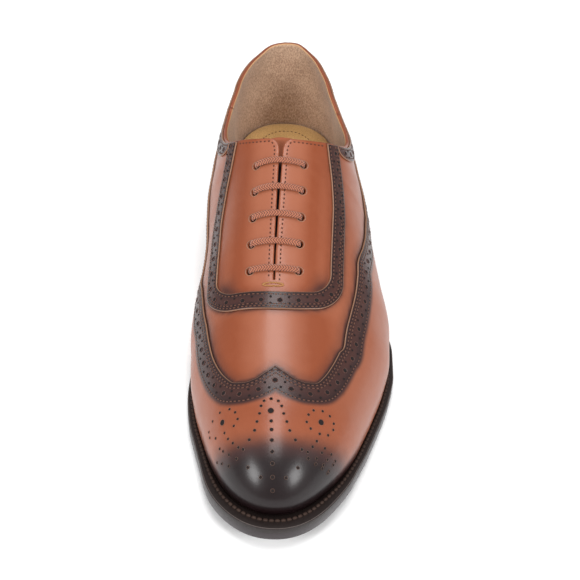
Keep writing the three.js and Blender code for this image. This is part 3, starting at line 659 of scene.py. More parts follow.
def make_piece(name, p, f, material, replaced=None, slot="tan_leather", smooth=True, values=None, kinds=None):
    """A mesh from points in shoe coordinates and triangles. values are numbers for each point, kinds the
    material number of each face."""
    mesh = bpy.data.meshes.new(name)
    mesh.vertices.add(len(p))
    mesh.vertices.foreach_set("co", placed(p).astype(np.float32).ravel())
    mesh.loops.add(3 * len(f))
    mesh.loops.foreach_set("vertex_index", f[:, ::-1].astype(np.int32).ravel())
    mesh.polygons.add(len(f))
    mesh.polygons.foreach_set("loop_start", np.arange(0, 3 * len(f), 3, dtype=np.int32))
    for m in material if isinstance(material, list) else [material]:
        mesh.materials.append(m)
    if kinds is not None:
        mesh.polygons.foreach_set("material_index", kinds.astype(np.int32))
    mesh.polygons.foreach_set("use_smooth", np.full(len(f), smooth))
    for key, value in (values or {}).items():
        layer = mesh.attributes.new(key, "FLOAT", "POINT")
        layer.data.foreach_set("value", value.astype(np.float32))
    mesh.update(calc_edges=True)
    mesh.validate()
    piece = bpy.data.objects.new(name, mesh)
    bpy.context.scene.collection.objects.link(piece)
    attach(piece, "root")
    if replaced:
        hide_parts(replaced)


def shell(sheet, outer, inner, rim=4, bulge=1.0):
    """Wall round a sheet between two offsets along its normals, with a rounded rim: along the rim the offset
    follows a cosine and the point leans out by a sine. Returns points, triangles, which face is outer (0),
    inner (1), rim (2) or the rim's inner part (3), and the number of the sheet's point behind each point."""
    p, n, f = sheet["p"], sheet["n"].copy(), sheet["f"]
    n[above_foot(p) < 0.12, 2] = 0
    n /= np.linalg.norm(n, axis=1, keepdims=True)
    count = len(p)
    sides = face_sides(f)
    keys = sides[:, 0].astype(np.int64) * count + sides[:, 1]
    back = sides[:, 1].astype(np.int64) * count + sides[:, 0]
    on_rim, border = np.unique(sides[~np.isin(keys, back)], return_inverse=True)
    border = border.reshape(-1, 2)
    tangent = np.zeros((len(on_rim), 3))
    step = p[on_rim[border[:, 1]]] - p[on_rim[border[:, 0]]]
    np.add.at(tangent, border[:, 0], step)
    np.add.at(tangent, border[:, 1], step)
    away = np.cross(tangent, n[on_rim])
    away /= np.maximum(np.linalg.norm(away, axis=1, keepdims=True), 1e-9)
    half = (outer - inner) / 2
    rows = [p + n * outer, p + n * inner]
    for turn in np.arange(1, rim) * math.pi / rim:
        level = (outer + inner) / 2 + half * math.cos(turn)
        rows.append(p[on_rim] + away * half * math.sin(turn) * bulge + n[on_rim] * level)
    m = len(on_rim)
    ring = [on_rim] + [2 * count + k * m + np.arange(m) for k in range(rim - 1)] + [count + on_rim]
    faces = [f, f[:, ::-1] + count]
    kinds = [np.zeros(len(f)), np.ones(len(f))]
    for k in range(rim):
        a, b = ring[k][border[:, 0]], ring[k][border[:, 1]]
        c, d = ring[k + 1][border[:, 0]], ring[k + 1][border[:, 1]]
        faces += [np.stack([b, a, c], 1), np.stack([b, c, d], 1)]
        kinds.append(np.full(2 * len(a), 2 if k < rim - 2 else 3))
    source = np.concatenate([np.arange(count), np.arange(count)] + [on_rim] * (rim - 1))
    return np.concatenate(rows), np.concatenate(faces), np.concatenate(kinds), source


# Shader groups


def feed(tree, socket, value):
    """Links a socket to another, or sets it to a number or colour."""
    if hasattr(value, "is_linked"):
        tree.links.new(value, socket)
    elif value is not None:
        socket.default_value = value


# Shader groups


def new_group(name, size_label, size, outputs):
    """An empty node group: a place and a size go in, named numbers come out."""
    group = bpy.data.node_groups.new(name, "ShaderNodeTree")
    group.interface.new_socket("Place", in_out="INPUT", socket_type="NodeSocketVector")
    made = group.interface.new_socket(size_label, in_out="INPUT", socket_type="NodeSocketFloat")
    made.default_value = size
    for label in outputs:
        group.interface.new_socket(label, in_out="OUTPUT", socket_type="NodeSocketFloat")
    return group, group.nodes.new("NodeGroupInput").outputs, group.nodes.new("NodeGroupOutput").inputs


def node(tree, kind, **inputs):
    """A new node with some of its input sockets fed."""
    made = tree.nodes.new(kind)
    for label, value in inputs.items():
        feed(tree, made.inputs[label], value)
    return made


def mix_colour(tree, factor, a, b):
    """Colour a, going over to b with the factor."""
    made = tree.nodes.new("ShaderNodeMix")
    made.data_type = "RGBA"
    for k, value in ((0, factor), (6, a), (7, b)):
        feed(tree, made.inputs[k], value)
    return made.outputs[2]


def maths(tree, operation, a, b=None, c=None, clamp=False):
    """One sum of up to three numbers."""
    made = tree.nodes.new("ShaderNodeMath")
    made.operation = operation
    made.use_clamp = clamp
    for socket, value in zip(made.inputs, (a, b, c)):
        feed(tree, socket, value)
    return made.outputs[0]


def span(tree, value, low, high):
    """Smooth step of a value from 0 at low to 1 at high."""
    made = tree.nodes.new("ShaderNodeMapRange")
    made.interpolation_type = "SMOOTHSTEP"
    for socket, number in zip(made.inputs, (value, low, high, 0.0, 1.0)):
        feed(tree, socket, number)
    return made.outputs[0]


def noise(tree, place, scale, detail=3.0, rough=0.55):
    """Fractal noise at a place."""
    made = node(tree, "ShaderNodeTexNoise", Vector=place, Scale=scale, Detail=detail, Roughness=rough)
    return made.outputs["Fac"]


def build_grain():
    """Leather grain: fine cells and pores as a height, and a slow mottle of the dye."""
    group, start, end = new_group("Leather grain", "Cell size", 900.0, ("Height", "Mottle"))
    place = start[0]
    cells = group.nodes.new("ShaderNodeTexVoronoi")
    cells.feature = "DISTANCE_TO_EDGE"
    feed(group, cells.inputs["Vector"], place)
    feed(group, cells.inputs["Scale"], start[1])
    edge = span(group, cells.outputs["Distance"], 0.0, 0.25)
    height = maths(group, "MULTIPLY_ADD", edge, 0.5, noise(group, place, 1500.0, 2.0))
    height = maths(group, "MULTIPLY_ADD", noise(group, place, 420.0), 0.8, height)
    slow = noise(group, place, 28.0, 4.0)
    feed(group, end[0], maths(group, "MULTIPLY_ADD", slow, 9.0, height))
    quick = noise(group, place, 190.0)
    feed(group, end[1], maths(group, "MULTIPLY_ADD", quick, 0.35, maths(group, "MULTIPLY", slow, 0.65)))
    return group


def build_nap():
    """Short nap of a suede or woven lining: streaky fibres as height and shade."""
    group, start, end = new_group("Lining nap", "Fineness", 700.0, ("Height", "Shade"))
    stretch = node(group, "ShaderNodeMapping", Vector=start[0], Scale=(1, 1, 0.45))
    fibre = noise(group, stretch.outputs[0], start[1], 4.0, 0.7)
    blot = noise(group, start[0], 60.0, 4.0)
    feed(group, end[0], fibre)
    feed(group, end[1], maths(group, "MULTIPLY_ADD", fibre, 0.8, maths(group, "MULTIPLY", blot, 0.2)))
    return group


GRAIN = build_grain()
NAP = build_nap()


def new_material(name, **settings):
    """A material with sockets of its shader set. _ in a socket's name stands for a space."""
    material = bpy.data.materials.new(name)
    material.use_nodes = True
    tree = material.node_tree
    shader = tree.nodes["Principled BSDF"]
    for key, value in settings.items():
        feed(tree, shader.inputs[key.replace("_", " ")], value)
    return material, tree, shader.inputs


def object_place(tree):
    """Place on the piece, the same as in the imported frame."""
    return tree.nodes.new("ShaderNodeTexCoord").outputs["Object"]


def use_group(tree, group, size):
    """A group's outputs in a material, at its place and with its own size."""
    made = tree.nodes.new("ShaderNodeGroup")
    made.node_tree = group
    feed(tree, made.inputs[0], object_place(tree))
    feed(tree, made.inputs[1], size)
    return made.outputs


def attribute(tree, name):
    """A number that the mesh carries at each point."""
    made = tree.nodes.new("ShaderNodeAttribute")
    made.attribute_name = name
    return made.outputs["Fac"]


def bump(tree, shader, height, strength, distance):
    """Relief of the surface from a height, in metres at full strength."""
    made = node(tree, "ShaderNodeBump", Strength=strength, Distance=distance, Height=height)
    feed(tree, shader["Normal"], made.outputs[0])


TAN = (0.290, 0.092, 0.046, 1)
WARM = (0.215, 0.050, 0.017, 1)
DARK = (0.036, 0.0135, 0.012, 1)
NEAR_BLACK = (0.007, 0.0025, 0.003, 1)
RAW = (0.42, 0.22, 0.13, 1)
RUBBER_COLOUR = (0.012, 0.012, 0.014, 1)
LACE_SHADE = (0.080, 0.020, 0.010, 1)
LACE_COLOUR = (0.42, 0.135, 0.066, 1)
RIB_PITCH = 0.003
STRAND_PITCH = 1.4


def leather(name, rough=0.42, coat=0.45):
    """Dyed and burnished leather: tan, warmer where the warm attribute is high, dark where dark is high, with
    a raw edge where edge is high. warm and dark also carry painted sheen and painted shade. Grain by bump,
    gloss by coat."""
    settings = {"Coat_Weight": coat, "Coat_Roughness": 0.24, "Coat_IOR": 1.5, "Specular_IOR_Level": 0.15}
    material, tree, shader = new_material(name, **settings)
    height, mottle = use_group(tree, GRAIN, 850.0)
    shift = maths(tree, "MULTIPLY_ADD", mottle, 0.9, -0.45)
    warm = maths(tree, "ADD", attribute(tree, "warm"), shift, clamp=True)
    colour = mix_colour(tree, warm, TAN, WARM)
    dark = maths(tree, "MULTIPLY_ADD", shift, 0.25, attribute(tree, "dark"), clamp=True)
    colour = mix_colour(tree, span(tree, dark, 0.05, 0.75), colour, DARK)
    colour = mix_colour(tree, span(tree, dark, 0.65, 1.0), colour, NEAR_BLACK)
    feed(tree, shader["Base Color"], mix_colour(tree, attribute(tree, "edge"), colour, RAW))
    feed(tree, shader["Roughness"], maths(tree, "MULTIPLY_ADD", mottle, 0.22, rough - 0.11))
    bump(tree, shader, height, 0.22, 0.00012)
    return material


def plain(name, colour, rough, spread=0.25, height=0.2, scale=600.0, coat=0.0, depth=0.0002):
    """One colour with a fine uneven surface, slightly lighter and darker in places."""
    settings = {"Coat_Weight": coat, "Coat_Roughness": 0.25, "Specular_IOR_Level": 0.2}
    material, tree, shader = new_material(name, **settings)
    place = object_place(tree)
    fine = noise(tree, place, scale, 4.0)
    slow = noise(tree, place, 45.0)
    both = maths(tree, "MULTIPLY_ADD", fine, 0.5, maths(tree, "MULTIPLY", slow, 0.5))
    low, high = ([min(1, c * share) for c in colour] + [1] for share in (1 - spread, 1 + spread))
    feed(tree, shader["Base Color"], mix_colour(tree, both, low, high))
    feed(tree, shader["Roughness"], maths(tree, "MULTIPLY_ADD", slow, 0.2, rough - 0.1))
    bump(tree, shader, fine, height, depth)
    return material


def thread(name, colour, rough=0.6, spread=0.4):
    """Fine stitching thread."""
    return plain(name, colour, rough, spread, 0.4, 2500.0)


def tread_material():
    """Black rubber with fine ribs across the forepart: a sine of the distance along the shoe, where the ribs
    attribute is high."""
    settings = {"Roughness": 0.55, "Specular_IOR_Level": 0.4, "Base_Color": RUBBER_COLOUR}
    material, tree, shader = new_material("Ribbed rubber", **settings)
    place = object_place(tree)
    along = node(tree, "ShaderNodeSeparateXYZ", Vector=place).outputs[1]
    wave = maths(tree, "SINE", maths(tree, "MULTIPLY", along, 2 * math.pi / RIB_PITCH))
    ribs = maths(tree, "MULTIPLY", wave, attribute(tree, "ribs"))
    bump(tree, shader, maths(tree, "MULTIPLY_ADD", noise(tree, place, 900.0), 0.3, ribs), 0.6, 0.0006)
    return material


def lining_material(name, dark, light, fineness, strength):
    """Napped lining between two shades of its colour."""
    material, tree, shader = new_material(name, Roughness=0.85, Sheen_Weight=0.3)
    height, shade = use_group(tree, NAP, fineness)
    feed(tree, shader["Base Color"], mix_colour(tree, span(tree, shade, 0.38, 0.62), dark, light))
    bump(tree, shader, height, strength, 0.0006)
    return material


def lace_material():
    """Braided lace: herringbone strands from its own run (millimetres) and turn (-1 to 1 over its face)."""
    material, tree, shader = new_material("Braided lace", Roughness=0.72, Sheen_Weight=0.2)
    turn = maths(tree, "ABSOLUTE", attribute(tree, "turn"))
    slant = maths(tree, "MULTIPLY_ADD", turn, 1.6, attribute(tree, "run"))
    strand = maths(tree, "SINE", maths(tree, "MULTIPLY", slant, 2 * math.pi / STRAND_PITCH))
    fibre = noise(tree, object_place(tree), 2200.0)
    height = maths(tree, "MULTIPLY_ADD", fibre, 0.3, maths(tree, "MULTIPLY", strand, 0.5))
    shade = span(tree, height, -0.45, 0.55)
    # Painted shade: the braid is darker in the grooves between its strands.
    feed(tree, shader["Base Color"], mix_colour(tree, shade, LACE_SHADE, LACE_COLOUR))
    bump(tree, shader, height, 0.8, 0.0004)
    return material


UPPER_LEATHER = leather("Burnished tan leather")
EDGE_LEATHER = leather("Tan collar edge", 0.42, 0.3)
TONGUE_LEATHER = leather("Tongue leather", 0.8, 0.0)
LINING = lining_material("Beige heel lining", (0.30, 0.175, 0.108, 1), (0.60, 0.41, 0.28, 1), 1700.0, 0.4)
SOCK = lining_material("Golden sock leather", (0.42, 0.235, 0.07, 1), (0.62, 0.39, 0.15, 1), 1300.0, 0.12)
# Near-black dishes laid on the surface: the painted shade inside punched holes and needle holes.
HOLE_SHADE = plain("Punched hole shade", (0.012, 0.008, 0.008), 0.8, 0.2, 0.1)
RAW_LINE = plain("Golden lining edge", (0.46, 0.27, 0.14), 0.7)
RIM = plain("Raw punched rim", (0.30, 0.155, 0.10), 0.7)
BAND_STITCH = thread("Light brown thread", (0.115, 0.050, 0.032))
STITCH = thread("Brown thread", (0.075, 0.024, 0.014))
TACK = thread("Golden thread", (0.33, 0.155, 0.055), spread=0.3)
WELT_STITCH = thread("Waxed welt thread", (0.036, 0.020, 0.015), spread=0.5)
# A thin lighter line along the welt's top outer edge.
EDGE_LINE = plain("Lighter welt edge line", (0.095, 0.075, 0.070), 0.5)
SOLE_STITCH = thread("White sole thread", (0.72, 0.70, 0.66), 0.7, 0.15)
SOLE_EDGE = plain("Dark waxed sole edge", (0.024, 0.017, 0.019), 0.36, 0.3, 0.2, 300.0, 0.25, 0.0003)
WELT = plain("Dark brown welt", (0.014, 0.009, 0.008), 0.5, 0.45, 0.5, 500.0, 0.2, 0.0004)
TREAD = tread_material()
RUBBER = plain("Black rubber", (0.014, 0.014, 0.015), 0.62, 0.25, 0.3, 700.0)


# Upper

last = last_sheet()
upper_sheet = carve(last, [below_topline])
wing_line = trace(last, outside_wing)

# Burnish, painted shade and painted sheen by place, in millimetres along the shoe, to a side of its ridge and
# above the foot.
TOE_BLACK = (266, 289)
TOE_SIDES = (232, 282)
TOE_FRONT = (282, 296)
# painted shade: a dark line where the toe's top turns down to its front wall
TOE_TURN = (25, 4.5)
PANEL_CORNERS = ((25, 7), (191, 10))
# painted sheen on the lace panel: deeper orange to its sides, lighter and pinker at its middle by the slit
PANEL_GLOW = (19.5, 5.0)
PANEL_CREST = (7, 5.5)
# painted sheen on the vamp: deeper orange to its sides, lighter at its middle
VAMP = (198, 208, 238, 250)
VAMP_GLOW = (23, 9)
TOE_GLOW = (262, 16)


def hump(x, middle, width):
    """Bell: e to the power of minus the square of the distance from the middle in widths."""
    return np.exp(-(((x - middle) / width) ** 2))


def fade(low, high, x):
    """1 below low, 0 above high, smooth between."""
    return 1 - smoothstep(low, high, x)


def painted(p):
    """Burnish, painted shade, painted sheen and warmth by place. dark: black burnish at the toe's tip, fading
    over the toe box, darker low on the toe's sides and just above the foot, darker shades beside the lace
    panel's front corners and along its edge, and a line of painted shade where the toe turns down to its
    front. warm: the deeper orange along the lace panel's sides, the vamp's sides and the toe box, with less
    of it at the panel's and the vamp's middles; those lighter middles and orange sides are painted sheen.
    Each is the most, or the sum, of bells and smooth steps of the place."""
    side, along, up = across(p), p[:, 1], above_foot(p)
    out = np.abs(side)
    dark = smoothstep(*TOE_BLACK, along + 0.004 * (side + 3) ** 2)
    dark = np.maximum(dark, 0.9 * fade(3, 15, up) * smoothstep(*TOE_SIDES, along))
    # Painted shade: a dark line across the toe's front where its top turns down to the front wall.
    dark = np.maximum(dark, hump(up, *TOE_TURN) * smoothstep(*TOE_FRONT, along))
    dark = np.maximum(dark, 0.30 * fade(0, 5, up))
    border = inside_band(p)
    in_panel = fade(-2, 2, border)
    corner = hump(out, *PANEL_CORNERS[0]) * hump(along, *PANEL_CORNERS[1])
    dark = np.maximum(dark, (0.45 * corner + 0.25 * hump(border, 0, 3.0)) * in_panel)
    # Painted sheen: the panel is deeper orange in stripes to its sides and lighter and pinker at its middle
    # by the slit; it is also warmer along its edge.
    glow = 0.75 * hump(out, *PANEL_GLOW) + 0.5 * hump(border, -1.5, 3.0) - 0.45 * hump(out, *PANEL_CREST)
    # Painted sheen: the vamp is deeper orange to its sides and lighter at its middle.
    vamp = smoothstep(*VAMP[:2], along) * fade(*VAMP[2:], along)
    warm = 0.30 + in_panel * glow + vamp * (0.75 * hump(out, *VAMP_GLOW) - 0.25 * hump(side, 0, 12))
    warm = warm + 0.55 * np.exp(-((side / 34) ** 4)) * hump(along, *TOE_GLOW)
    return np.clip(dark, 0, 1), np.clip(warm, 0, 1)


def leather_values(p, shade=0.0, glow=0.0):
    """What the leather's material reads at each point: darkness of at least shade, which brings burnish and
    painted shade, and warmth with glow added.
    """
    dark, warm = painted(p)
    return {"dark": np.maximum(dark, shade), "warm": np.clip(warm + glow, 0, 1), "edge": np.zeros(len(p))}


def on_upper(along, side_place):
    """Points of the upper's face at places along and across, by bisection of the climb."""
    along, side_place = np.broadcast_arrays(np.asarray(along, float), np.asarray(side_place, float))
    at = stations(along.ravel(), np.ones(along.size), np.full(along.size, math.pi / 2))
    side = np.where(side_place.ravel() < 0, -1, 1)
    low, high = np.zeros(along.size), np.ones(along.size)
    for _ in range(40):
        climb = (low + high) / 2
        reach = side * (arch(at, side, climb)[:, 0] - at["shift"])
        outside = reach > np.abs(side_place.ravel())
        low, high = np.where(outside, climb, low), np.where(outside, high, climb)
    return arch(at, side, low)


def upper_frame(along, side_place):
    """Point, outward normal and forward direction of the upper's face at a place, by differences."""
    p = on_upper(along, side_place)
    ahead = on_upper(np.add(along, 1), side_place) - on_upper(np.subtract(along, 1), side_place)
    aside = on_upper(along, np.add(side_place, 0.5)) - on_upper(along, np.subtract(side_place, 0.5))
    n = np.cross(aside, ahead)
    n /= np.linalg.norm(n, axis=1, keepdims=True)
    return p, n, ahead / np.linalg.norm(ahead, axis=1, keepdims=True)


def lace_rows():
    """Where the lace's rows lie along the shoe, front first: even steps on the slope of the instep."""
    slope = np.arange(SLIT_END - FIRST_EYELET, FACING_TOP, -0.25)
    ridge = on_upper(slope, np.full(len(slope), 0.01))
    walked = np.concatenate([[0], np.cumsum(np.linalg.norm(np.diff(ridge, axis=0), axis=1))])
    return np.interp(EYELET_PITCH * np.arange(5), walked, slope)


ROWS = lace_rows()
EYE_P, EYE_N, EYE_T = upper_frame(np.repeat(ROWS, 2), np.tile([-EYELET_HALF_SPAN, EYELET_HALF_SPAN], 5))


def outside_eyelets(p):
    """Distance outside the nearest eyelet hole, 0 on its edge."""
    return np.linalg.norm(p[:, None, :] - EYE_P[None, :, :], axis=-1).min(1) - EYELET_RADIUS


def build_upper():
    """The hollow upper: leather outside, lining inside, with slit, eyelets and rounded collar edge."""
    before_end = lambda p: SLIT_END - p[:, 1]
    in_front = lambda p: p[:, 1] - (FACING_TOP - TONGUE_HALF)
    wide_slit = lambda p: inside_slit(p) + 0.2
    slit = lambda p: np.minimum(np.minimum(wide_slit(p), before_end(p)), in_front(p))
    sheet = carve(upper_sheet, [wide_slit, before_end], slit)
    sheet = carve(sheet, [negative(outside_eyelets)])
    p, f, kinds, source = shell(sheet, 0.0, -UPPER_WALL, rim=6, bulge=0.5)
    base = sheet["p"]
    to_panel, to_band, to_wing = inside_band(base), np.abs(outside_band(base)), distance_to(base, wing_line)
    # Painted shade where the raised band and wing lie on the upper: darkest within 2 to 2.5 mm of their
    # edges.
    seam = 0.5 * hump(to_panel, 0.3, 1.1) * (to_panel < 3)
    seam = np.maximum(seam, 0.38 * fade(0, 11, to_wing) + 0.45 * fade(0, 2.5, to_wing))
    seam = np.maximum(seam, 0.30 * fade(0, 7, to_band) + 0.35 * fade(0, 2, to_band))
    values = leather_values(base, seam, 0.5 * fade(1.2, 2.6, -below_topline(base)))
    values = {key: value[source] for key, value in values.items()}
    materials = [UPPER_LEATHER, LINING, EDGE_LEATHER, RAW_LINE]
    make_piece("upper_leather", p, f, materials, "upper", values=values, kinds=kinds)


build_upper()


def overlay(covered, sheet, shade=0.0):
    """A flat piece of leather on the upper with a rounded cut edge, where the raw leather shows."""
    p, f, _, source = shell(sheet, OVERLAY_RISE, 0.02, bulge=0.9)
    values = {key: value[source] for key, value in leather_values(sheet["p"], shade).items()}
    values["edge"][2 * len(sheet["p"]) :] = 0.6
    make_piece(covered + "_leather", p, f, UPPER_LEATHER, covered, values=values)


def band_burnish_and_sheen(d, width, edge_dark=0.86, middle=0.66):
    """Darkness across a burnished band: darkest at its two edges, lighter in its middle, which is painted
    sheen, and fading out beyond the far one.
    """
    inside = middle + (edge_dark - middle) * (2 * np.clip(d / width, 0, 1) - 1) ** 2
    return inside * fade(width - 0.3, width + 4.5, d)


collar_sheet = carve(last, [offset_field(below_topline, -COLLAR_EDGE)])
clear_of_strap = negative(from_strap, SEAM_GAP)
wing_sheet = carve(collar_sheet, [outside_wing, clear_of_strap, negative(outside_strip, SEAM_GAP)])
wing_depth = distance_to(wing_sheet["p"], wing_line)
overlay("wing", wing_sheet, band_burnish_and_sheen(wing_depth, WING_BAND))

band_sheet = carve(collar_sheet, [negative(inside_band), outside_band])
band_depth = distance_to(band_sheet["p"], trace(upper_sheet, inside_band)[:1])
overlay("facing_band", band_sheet, np.maximum(band_burnish_and_sheen(band_depth, 8.2, 0.88), 0.64))

overlay("collar_strip_outer", carve(collar_sheet, [collar_end, clear_of_strap, lambda p: -across(p)]), 0.68)
overlay("collar_strip_inner", carve(collar_sheet, [collar_end, clear_of_strap, across]), 0.68)

strap_sheet = carve(collar_sheet, [from_strap])
overlay("back_strap", strap_sheet)


def build_tongue():
    """The tongue below the flaps: the last's own face let down by the wall and the lace's space."""
    front = lambda p: p[:, 1] - (SLIT_END + TONGUE_UNDER_VAMP)
    tip = FACING_TOP - TONGUE_TIP
    edges = lambda p: rounded_corner(np.abs(across(p)) - TONGUE_HALF, tip - p[:, 1], TONGUE_CORNER)
    sheet = carve(last, [front, edges])
    rise = smoothstep(0, 1, (SLIT_END + TONGUE_UNDER_VAMP - sheet["p"][:, 1]) / TONGUE_UNDER_VAMP)
    depth = UPPER_WALL + WALL_PLAY + (WALL_PLAY + LACE_THICK) * rise
    lowered = {"p": sheet["p"] - sheet["n"] * depth[:, None], "n": sheet["n"], "f": sheet["f"]}
    p, f, kinds, source = shell(lowered, 0.0, -TONGUE_THICK)
    # Painted shadow: nearly black where the tongue lies in the shade under the slit, from 6 to 16 mm past the
    # facing's top on.
    shade = 0.95 * smoothstep(FACING_TOP + 6, FACING_TOP + 16, sheet["p"][:, 1])
    values = {key: value[source] for key, value in leather_values(sheet["p"], shade).items()}
    materials = [TONGUE_LEATHER, LINING, TONGUE_LEATHER, LINING]
    make_piece("tongue_leather", p, f, materials, "tongue", values=values, kinds=kinds)


build_tongue()


# Stitches and holes


def tube_faces(rings, sides):
    """Faces of a tube of rings, with a fan of triangles over each end."""
    k = np.arange(1, sides - 1)
    end = (rings - 1) * sides
    first, last_fan = np.stack([0 * k, k + 1, k], 1), np.stack([0 * k, k, k + 1], 1) + end
    return np.concatenate([grid_faces(rings, sides, closed_columns=True), first, last_fan])


def capsule(length, radius, rings=5, sides=6, flat=0.6):
    """A short thread stitch: radius times the root of 1 - s^4 round its line, dipping at both ends."""
    s = np.linspace(-1, 1, rings)[:, None]
    turn = np.arange(sides)[None, :] * 2 * math.pi / sides
    r = radius * np.sqrt(np.maximum(1 - s**4, 0.04))
    height = flat * r * np.sin(turn) - 0.7 * radius * s**4
    p = np.stack(np.broadcast_arrays(s * length / 2, r * np.cos(turn), height), -1)
    return p.reshape(-1, 3), tube_faces(rings, sides)


def disc(radius, sides=12, depth=0.1):
    """A shallow dish: centre a little lower than its edge."""
    k = np.arange(sides)
    turn = k * 2 * math.pi / sides
    edge = np.stack([radius * np.cos(turn), radius * np.sin(turn), np.full(sides, depth)], 1)
    return np.concatenate([[[0, 0, 0.0]], edge]), np.stack([0 * k, 1 + k, 1 + (k + 1) % sides], 1)


def scatter(template, places, lift):
    """Copies of a small form at many places: its x along the line, y across it, z along the normal."""
    form, faces = template
    at, ahead, normal = places
    beside = np.cross(normal, ahead)
    p = at[:, None, :] + normal[:, None, :] * (form[None, :, 2:3] + lift)
    p = p + ahead[:, None, :] * form[None, :, 0:1] + beside[:, None, :] * form[None, :, 1:2]
    f = faces[None] + (np.arange(len(at)) * len(form))[:, None, None]
    return p.reshape(-1, 3), f.reshape(-1, 3)


def joined(parts):
    """Several forms as one set of points and triangles."""
    parts = [part for part in parts if len(part[0])]
    offset = np.concatenate([[0], np.cumsum([len(p) for p, _ in parts])[:-1]])
    return np.concatenate([p for p, _ in parts]), np.concatenate([f + o for (_, f), o in zip(parts, offset)])


def long_enough(lines, least=6.0):
    """The chains longer than a least length."""
    return [line for line in lines if np.linalg.norm(np.diff(line[0], axis=0), axis=1).sum() > least]


def at_depth(sheet, depth, value):
    """Lines on a sheet where a depth known at its points has a value."""
    return long_enough(trace(sheet, lambda p: depth - value))


FINE_STITCH = capsule(1.7, 0.34)
PIT = disc(0.3, 7, 0.05)
STITCH_LIFT = OVERLAY_RISE + 0.02
HOLE_LIFT = OVERLAY_RISE + 0.04
STITCH_PITCH = 2.3

strips = carve(collar_sheet, [collar_end, clear_of_strap])
band_outer = distance_to(band_sheet["p"], trace(upper_sheet, outside_band)[:1])
# How far each row of stitches lies in from the edges that its piece is measured from.
SEAMS = [(wing_sheet, wing_depth, (1.3, 2.9, WING_BAND + 0.2))]
SEAMS += [(band_sheet, band_depth, (1.2,)), (band_sheet, band_outer, (1.0, 2.3))]
STRIP_SEAMS = (STRIP_WIDTH - 1.2, 1.4)
STRAP_SEAM = 1.6
stitch_lines = []
for sheet, depth, values in SEAMS:
    for value in values:
        stitch_lines += at_depth(sheet, depth, value)
for value in STRIP_SEAMS:
    stitch_lines += long_enough(trace(strips, offset_field(outside_strip, -value)))
for field in (negative(across), across):
    stitch_lines += long_enough(trace(strap_sheet, offset_field(field, STRAP_WIDTH / 2 - STRAP_SEAM)))
stitches = [scatter(FINE_STITCH, even_steps(line, STITCH_PITCH), STITCH_LIFT) for line in stitch_lines]
pits = [scatter(PIT, even_steps(line, STITCH_PITCH, 1.0), STITCH_LIFT + 0.01) for line in stitch_lines]
make_piece("overlay_stitches", *joined(stitches), BAND_STITCH)
# Painted shade: a dark dish at each needle hole.
make_piece("needle_hole_shades", *joined(pits), HOLE_SHADE)

# Stitches on the flaps: beside the slit, and along the facing's top edge, with the tack at the slit's end.
stitches = []
slit_sheet = carve(carve(upper_sheet, [offset_field(inside_band, -1.5)]), [inside_slit])
both_edges = lambda p: np.maximum(inside_slit(p) + 2.2, below_topline(p) + 2.4)
for line in long_enough(trace(slit_sheet, both_edges), 10):
    places = even_steps(line, 2.4)
    before = (places[0][:, 1] < SLIT_END - 0.5) & (places[0][:, 1] > FACING_TOP - TONGUE_HALF)
    stitches.append(scatter(capsule(1.7, 0.40), [value[before] for value in places], 0.02))
make_piece("flap_stitches", *joined(stitches), STITCH)

TACK_STITCHES = 28
TACK_FRONT, TACK_SIDE = 2.2, -0.5
TACK_HALF_WIDTH, TACK_HALF_LENGTH = 5.2, 0.9
turn = np.arange(TACK_STITCHES) * 2 * math.pi / TACK_STITCHES
tack_along = SLIT_END + TACK_FRONT + TACK_HALF_LENGTH * np.sin(turn)
tack_p, tack_n, _ = upper_frame(tack_along, TACK_SIDE + TACK_HALF_WIDTH * np.cos(turn))
ahead = np.roll(tack_p, -1, 0) - np.roll(tack_p, 1, 0)
ahead /= np.linalg.norm(ahead, axis=1, keepdims=True)
make_piece("bar_tack", *scatter(capsule(1.5, 0.45), (tack_p, ahead, tack_n), 0.3), TACK)


def ring_form(radius, tube, sides=16, round_sides=6):
    """A thin raised ring round a hole: a circle of small circles."""
    turn = np.arange(sides)[:, None] * 2 * math.pi / sides
    roll = np.arange(round_sides)[None, :] * 2 * math.pi / round_sides
    r = radius + tube * np.cos(roll)
    p = np.stack(np.broadcast_arrays(r * np.cos(turn), r * np.sin(turn), tube * np.sin(roll)), -1)
    return p.reshape(-1, 3), grid_faces(sides, round_sides, closed_rows=True, closed_columns=True)[:, ::-1]


BAND_HOLE = 1.2
SMALL_HOLE = 0.66
PAIR_APART = 1.85
HOLE_PITCH = 9.6

# A big hole at each pitch of the bands, and a pair of small ones between.
dishes, rims = [], []
for line in (
    at_depth(wing_sheet, wing_depth, 6.3)
    + at_depth(band_sheet, band_depth, 4.6)
    + long_enough(trace(strips, offset_field(outside_strip, -STRIP_WIDTH / 2)), 20)
):
    places = even_steps(line, HOLE_PITCH)
    dishes.append(scatter(disc(BAND_HOLE, 14), places, HOLE_LIFT))
    rims.append(scatter(ring_form(BAND_HOLE + 0.12, 0.2), places, HOLE_LIFT + 0.02))
    at, ahead, normal = even_steps(line, HOLE_PITCH, 1.0)
    for aside in (-PAIR_APART, PAIR_APART):
        moved = at + aside * np.cross(normal, ahead)
        dishes.append(scatter(disc(SMALL_HOLE, 9), (moved, ahead, normal), HOLE_LIFT))
# Painted shade: dark dishes in the bands' punched holes.
make_piece("band_hole_shades", *joined(dishes), HOLE_SHADE)
p, f = joined(rims)
values = {"dark": np.full(len(p), 0.58), "warm": np.zeros(len(p)), "edge": np.zeros(len(p))}
make_piece("band_hole_rims", p, f, UPPER_LEATHER, values=values)

